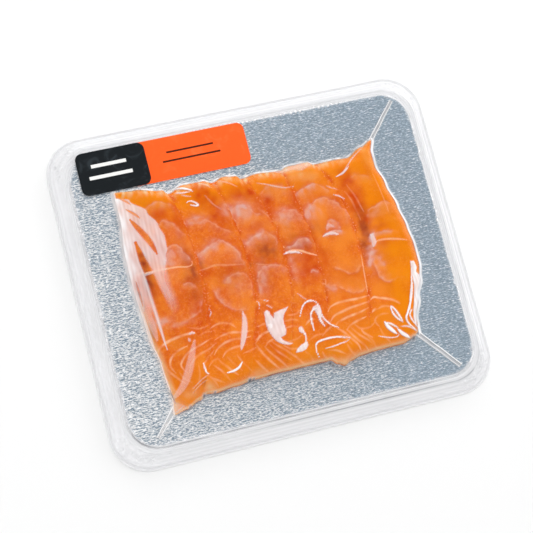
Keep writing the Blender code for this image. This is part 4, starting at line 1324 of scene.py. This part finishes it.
# Ridges of film, where it is folded double with a darker tint, with painted highlight lines along their
# edges: start and end, widths and heights at the two ends, and how dark the painted shade down the middle is
RIDGES = {
    "film_ridge_upper_right": ((78.5, 61), (101.5, 87), (3.4, 2.6), (0.8, 0.3), 0.22),
    "film_ridge_lower_right": ((75.5, -59.5), (99, -87.5), (3.8, 3.2), (0.8, 0.3), 0.22),
    "film_ridge_lower_left": ((-80.6, -71.8), (-95, -86.8), (5.6, 2.2), (1.0, 0.3), 0.06),
}
RIDGE_LEVEL = CARD_TOP + FILM_LEVEL + 0.05
for ridge_name, (start, end, widths, heights, dark) in RIDGES.items():
    ridge_mesh, along_run, across_run = grid_mesh(ridge_name, 60, 24)
    run = np.array(end) - np.array(start)
    length = float(np.hypot(*run))
    side = across_run * 2 - 1
    half = (widths[0] + (widths[1] - widths[0]) * along_run ** 0.6) / 2
    height = heights[0] + (heights[1] - heights[0]) * along_run ** 0.5
    wander = 0.07 * ripples(along_run * length, along_run * 0, 11, 401)
    profile = peak(np.abs(side), 0.5, 0.26) + 0.35 * peak(side, 0, 0.3)
    profile = profile * smooth_between(1.0, 0.8, np.abs(side))
    place_x = start[0] + run[0] * along_run - run[1] / length * (side * half + wander)
    place_y = start[1] + run[1] * along_run + run[0] / length * (side * half + wander)
    write_points(ridge_mesh, place_x, place_y, RIDGE_LEVEL + height * profile)
    edge_lines = peak(np.abs(side), 0.7, 0.2)
    middle = dark * (1 - edge_lines) * (0.8 + 0.3 * ripples(along_run * length, side, 5, 403))
    write_field(ridge_mesh, "milk_and_highlight", 0.45 + 0.5 * edge_lines)
    write_field(ridge_mesh, "painted_shade", middle)
    place_piece(ridge_name, ridge_mesh, folded_film)


# ---------------------------------------------------------------------------------------------------
# Label. Two pieces of satin paper stuck on the film: a long orange strip, and a black patch over its
# left end. Plain bars are printed on both. The ink is uneven over the paper's grain, and it has patches
# of painted sheen, a paler ink.
# ---------------------------------------------------------------------------------------------------
ORANGE_INK = linear(255, 92, 24)
BLACK_INK = linear(24, 28, 31)
# painted sheen: paler ink in patches
ORANGE_SHEEN = linear(255, 116, 60)
BLACK_SHEEN = linear(62, 70, 76)
BAR_DARK = linear(70, 28, 14)
BAR_LIGHT = linear(226, 226, 224)
INK_DULL = 0.9  # how bright the ink is between the grains, against full
GRAIN_SCALE = 900.0  # for each metre
SHEEN_SCALE = 75.0
# bars: middle x and y, half length, half height
ORANGE_BARS = [(-33.0, 83.0, 15.0, 0.6), (-33.0, 77.4, 18.5, 0.6)]
BLACK_BARS = [(-84.5, 83.4, 11.0, 1.1), (-84.5, 76.2, 13.5, 1.1)]


def bar_group():
    """1 inside an upright box round a middle, 0 outside."""
    group, entry, leave = mask_group("printed bar", ["Middle X", "Middle Y", "Half length", "Half height"],
                                     ["Bar"])
    apart = add_node(group, "ShaderNodeSeparateXYZ", i0=object_place(group))
    inside = []
    for axis in range(2):
        offset = math_node(group, "SUBTRACT", apart.outputs[axis], entry.outputs[axis])
        size = math_node(group, "ABSOLUTE", offset)
        inside.append(math_node(group, "LESS_THAN", size, entry.outputs[2 + axis]))
    group.links.new(math_node(group, "MULTIPLY", inside[0], inside[1]), leave.inputs[0])
    return group


def paper_group():
    """The paper's grain, and patches of painted sheen on the print."""
    group, entry, leave = mask_group("paper grain and sheen", ["Grain scale", "Sheen scale"], ["Grain", "Sheen"])
    place = object_place(group)
    group.links.new(noise(group, place, entry.outputs[0], 2.0, 0.5), leave.inputs[0])
    painted_sheen = ramp(group, noise(group, place, entry.outputs[1], 3.0, 0.6, 1.6),
                  [(0.56, grey(0)), (0.74, grey(0.5))])
    group.links.new(painted_sheen, leave.inputs[1])
    return group


printed_bar = bar_group()
paper_with_sheen = paper_group()


def print_material(name, ink, sheen, bar_ink, bars):
    material, tree, output = new_material(name)
    masks = [add_node(tree, "ShaderNodeGroup", {"node_tree": printed_bar}, i0=x * MM, i1=y * MM,
                      i2=half_length * MM, i3=half_height * MM).outputs[0]
             for x, y, half_length, half_height in bars]
    paper = add_node(tree, "ShaderNodeGroup", {"node_tree": paper_with_sheen}, i0=GRAIN_SCALE, i1=SHEEN_SCALE)
    dull_ink = (*(channel * INK_DULL for channel in ink[:3]), 1.0)
    tone = ramp(tree, paper.outputs["Grain"], [(0.3, dull_ink), (0.7, ink)])
    # painted sheen in patches
    colour = blend_colour(tree, paper.outputs["Sheen"], tone, sheen)
    colour = blend_colour(tree, math_node(tree, "MAXIMUM", *masks), colour, bar_ink)
    bump = add_node(tree, "ShaderNodeBump", Strength=0.12, Distance=0.05 * MM, Height=paper.outputs["Grain"])
    shader = add_node(tree, "ShaderNodeBsdfPrincipled", Base_Color=colour, Roughness=0.42,
                      Specular_IOR_Level=0.3, Normal=bump.outputs[0])
    tree.links.new(shader.outputs[0], output.inputs[0])
    return material


for node_name, slot_name, ink, sheen, bar_ink, bars in (
        ("label_strip", "orange_label", ORANGE_INK, ORANGE_SHEEN, BAR_DARK, ORANGE_BARS),
        ("label_patch", "black_label", BLACK_INK, BLACK_SHEEN, BAR_LIGHT, BLACK_BARS)):
    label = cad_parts[node_name]
    label.data.materials.clear()
    label.data.materials.append(print_material(f"{slot_name} print", ink, sheen, bar_ink, bars))


# ---------------------------------------------------------------------------------------------------
# Studio. A white floor in a room that is bright low down and dark overhead, a large softbox above, two
# fills in front, small ones at the right, the back and the left, and the camera where the photograph was
# taken from. The film mirrors the room alone.
# ---------------------------------------------------------------------------------------------------
FLOOR_HALF = 4.0  # metres
FLOOR_WHITE = (0.8, 0.8, 0.8, 1)
bm = bmesh.new()
bmesh.ops.create_grid(bm, x_segments=1, y_segments=1, size=FLOOR_HALF)
floor_mesh = bpy.data.meshes.new("floor")
bm.to_mesh(floor_mesh)
bm.free()
floor = bpy.data.objects.new("floor", floor_mesh)
bpy.context.scene.collection.objects.link(floor)
floor_paint, floor_tree, floor_output = new_material("white floor")
floor_shader = add_node(floor_tree, "ShaderNodeBsdfPrincipled", Base_Color=FLOOR_WHITE, Roughness=0.9,
                        Specular_IOR_Level=0.1)
floor_tree.links.new(floor_shader.outputs[0], floor_output.inputs[0])
floor_mesh.materials.append(floor_paint)

scene = bpy.context.scene
room = bpy.data.worlds.new("room")
room.use_nodes = True
room_tree = room.node_tree
sky = add_node(room_tree, "ShaderNodeTexCoord").outputs["Generated"]
height_up = add_node(room_tree, "ShaderNodeSeparateXYZ", i0=sky).outputs[2]
room_tone = ramp(room_tree, height_up, [(0.0, grey(0.9)), (0.3, grey(0.8)), (0.62, grey(0.2)),
                                        (0.85, grey(0.06)), (1.0, grey(0.06))])
room_tree.links.new(room_tone, room_tree.nodes["Background"].inputs[0])
room_tree.nodes["Background"].inputs[1].default_value = 1.0
scene.world = room

AIM = Vector((0, 0, 0.01))  # metres
# name, direction, distance, width and height in metres, brightness, whether it casts shadows
SOFTBOXES = [
    ("overhead", (0.4, 0.42, 0.82), 3.0, 2.8, 2.8, 2.32, True),
    ("front fill", (-0.5, -0.5, 0.7), 3.2, 2.8, 2.8, 1.7, False),
    ("low front", (-0.62, -0.72, 0.3), 1.5, 1.4, 0.5, 2.0, False),
    ("low right", (0.92, 0.2, 0.4), 1.4, 1.2, 0.5, 3.4, True),
    ("low back", (0.2, 0.92, 0.4), 1.4, 1.2, 0.5, 2.8, True),
    ("left", (-0.5, 0.42, 0.76), 1.4, 0.7, 0.7, 2.0, True),
]
for name, direction, distance, width, height, brightness, shadows in SOFTBOXES:
    lamp = bpy.data.lights.new(f"softbox {name}", "AREA")
    lamp.shape = "RECTANGLE"
    lamp.size = width
    lamp.size_y = height
    lamp.energy = brightness * pi * width * height
    lamp.use_shadow = shadows
    item = bpy.data.objects.new(f"softbox {name}", lamp)
    scene.collection.objects.link(item)
    item.location = AIM + Vector(direction).normalized() * distance
    item.rotation_mode = "QUATERNION"
    item.rotation_quaternion = Vector(direction).to_track_quat("Z", "Y")
    item.visible_glossy = False

camera_data = bpy.data.cameras.new("camera")
camera_data.sensor_width = 36.0
camera_data.lens = 108.07
camera = bpy.data.objects.new("camera", camera_data)
scene.collection.objects.link(camera)
camera.location = (-0.218646, -0.155243, 0.957170)
camera.rotation_euler = Euler((0.2089575, -0.1750671, -0.2559804), "XYZ")
scene.camera = camera
scene.view_settings.view_transform = "Standard"
scene.view_settings.look = "None"
scene.view_settings.exposure = 0.0
scene.view_settings.gamma = 1.0
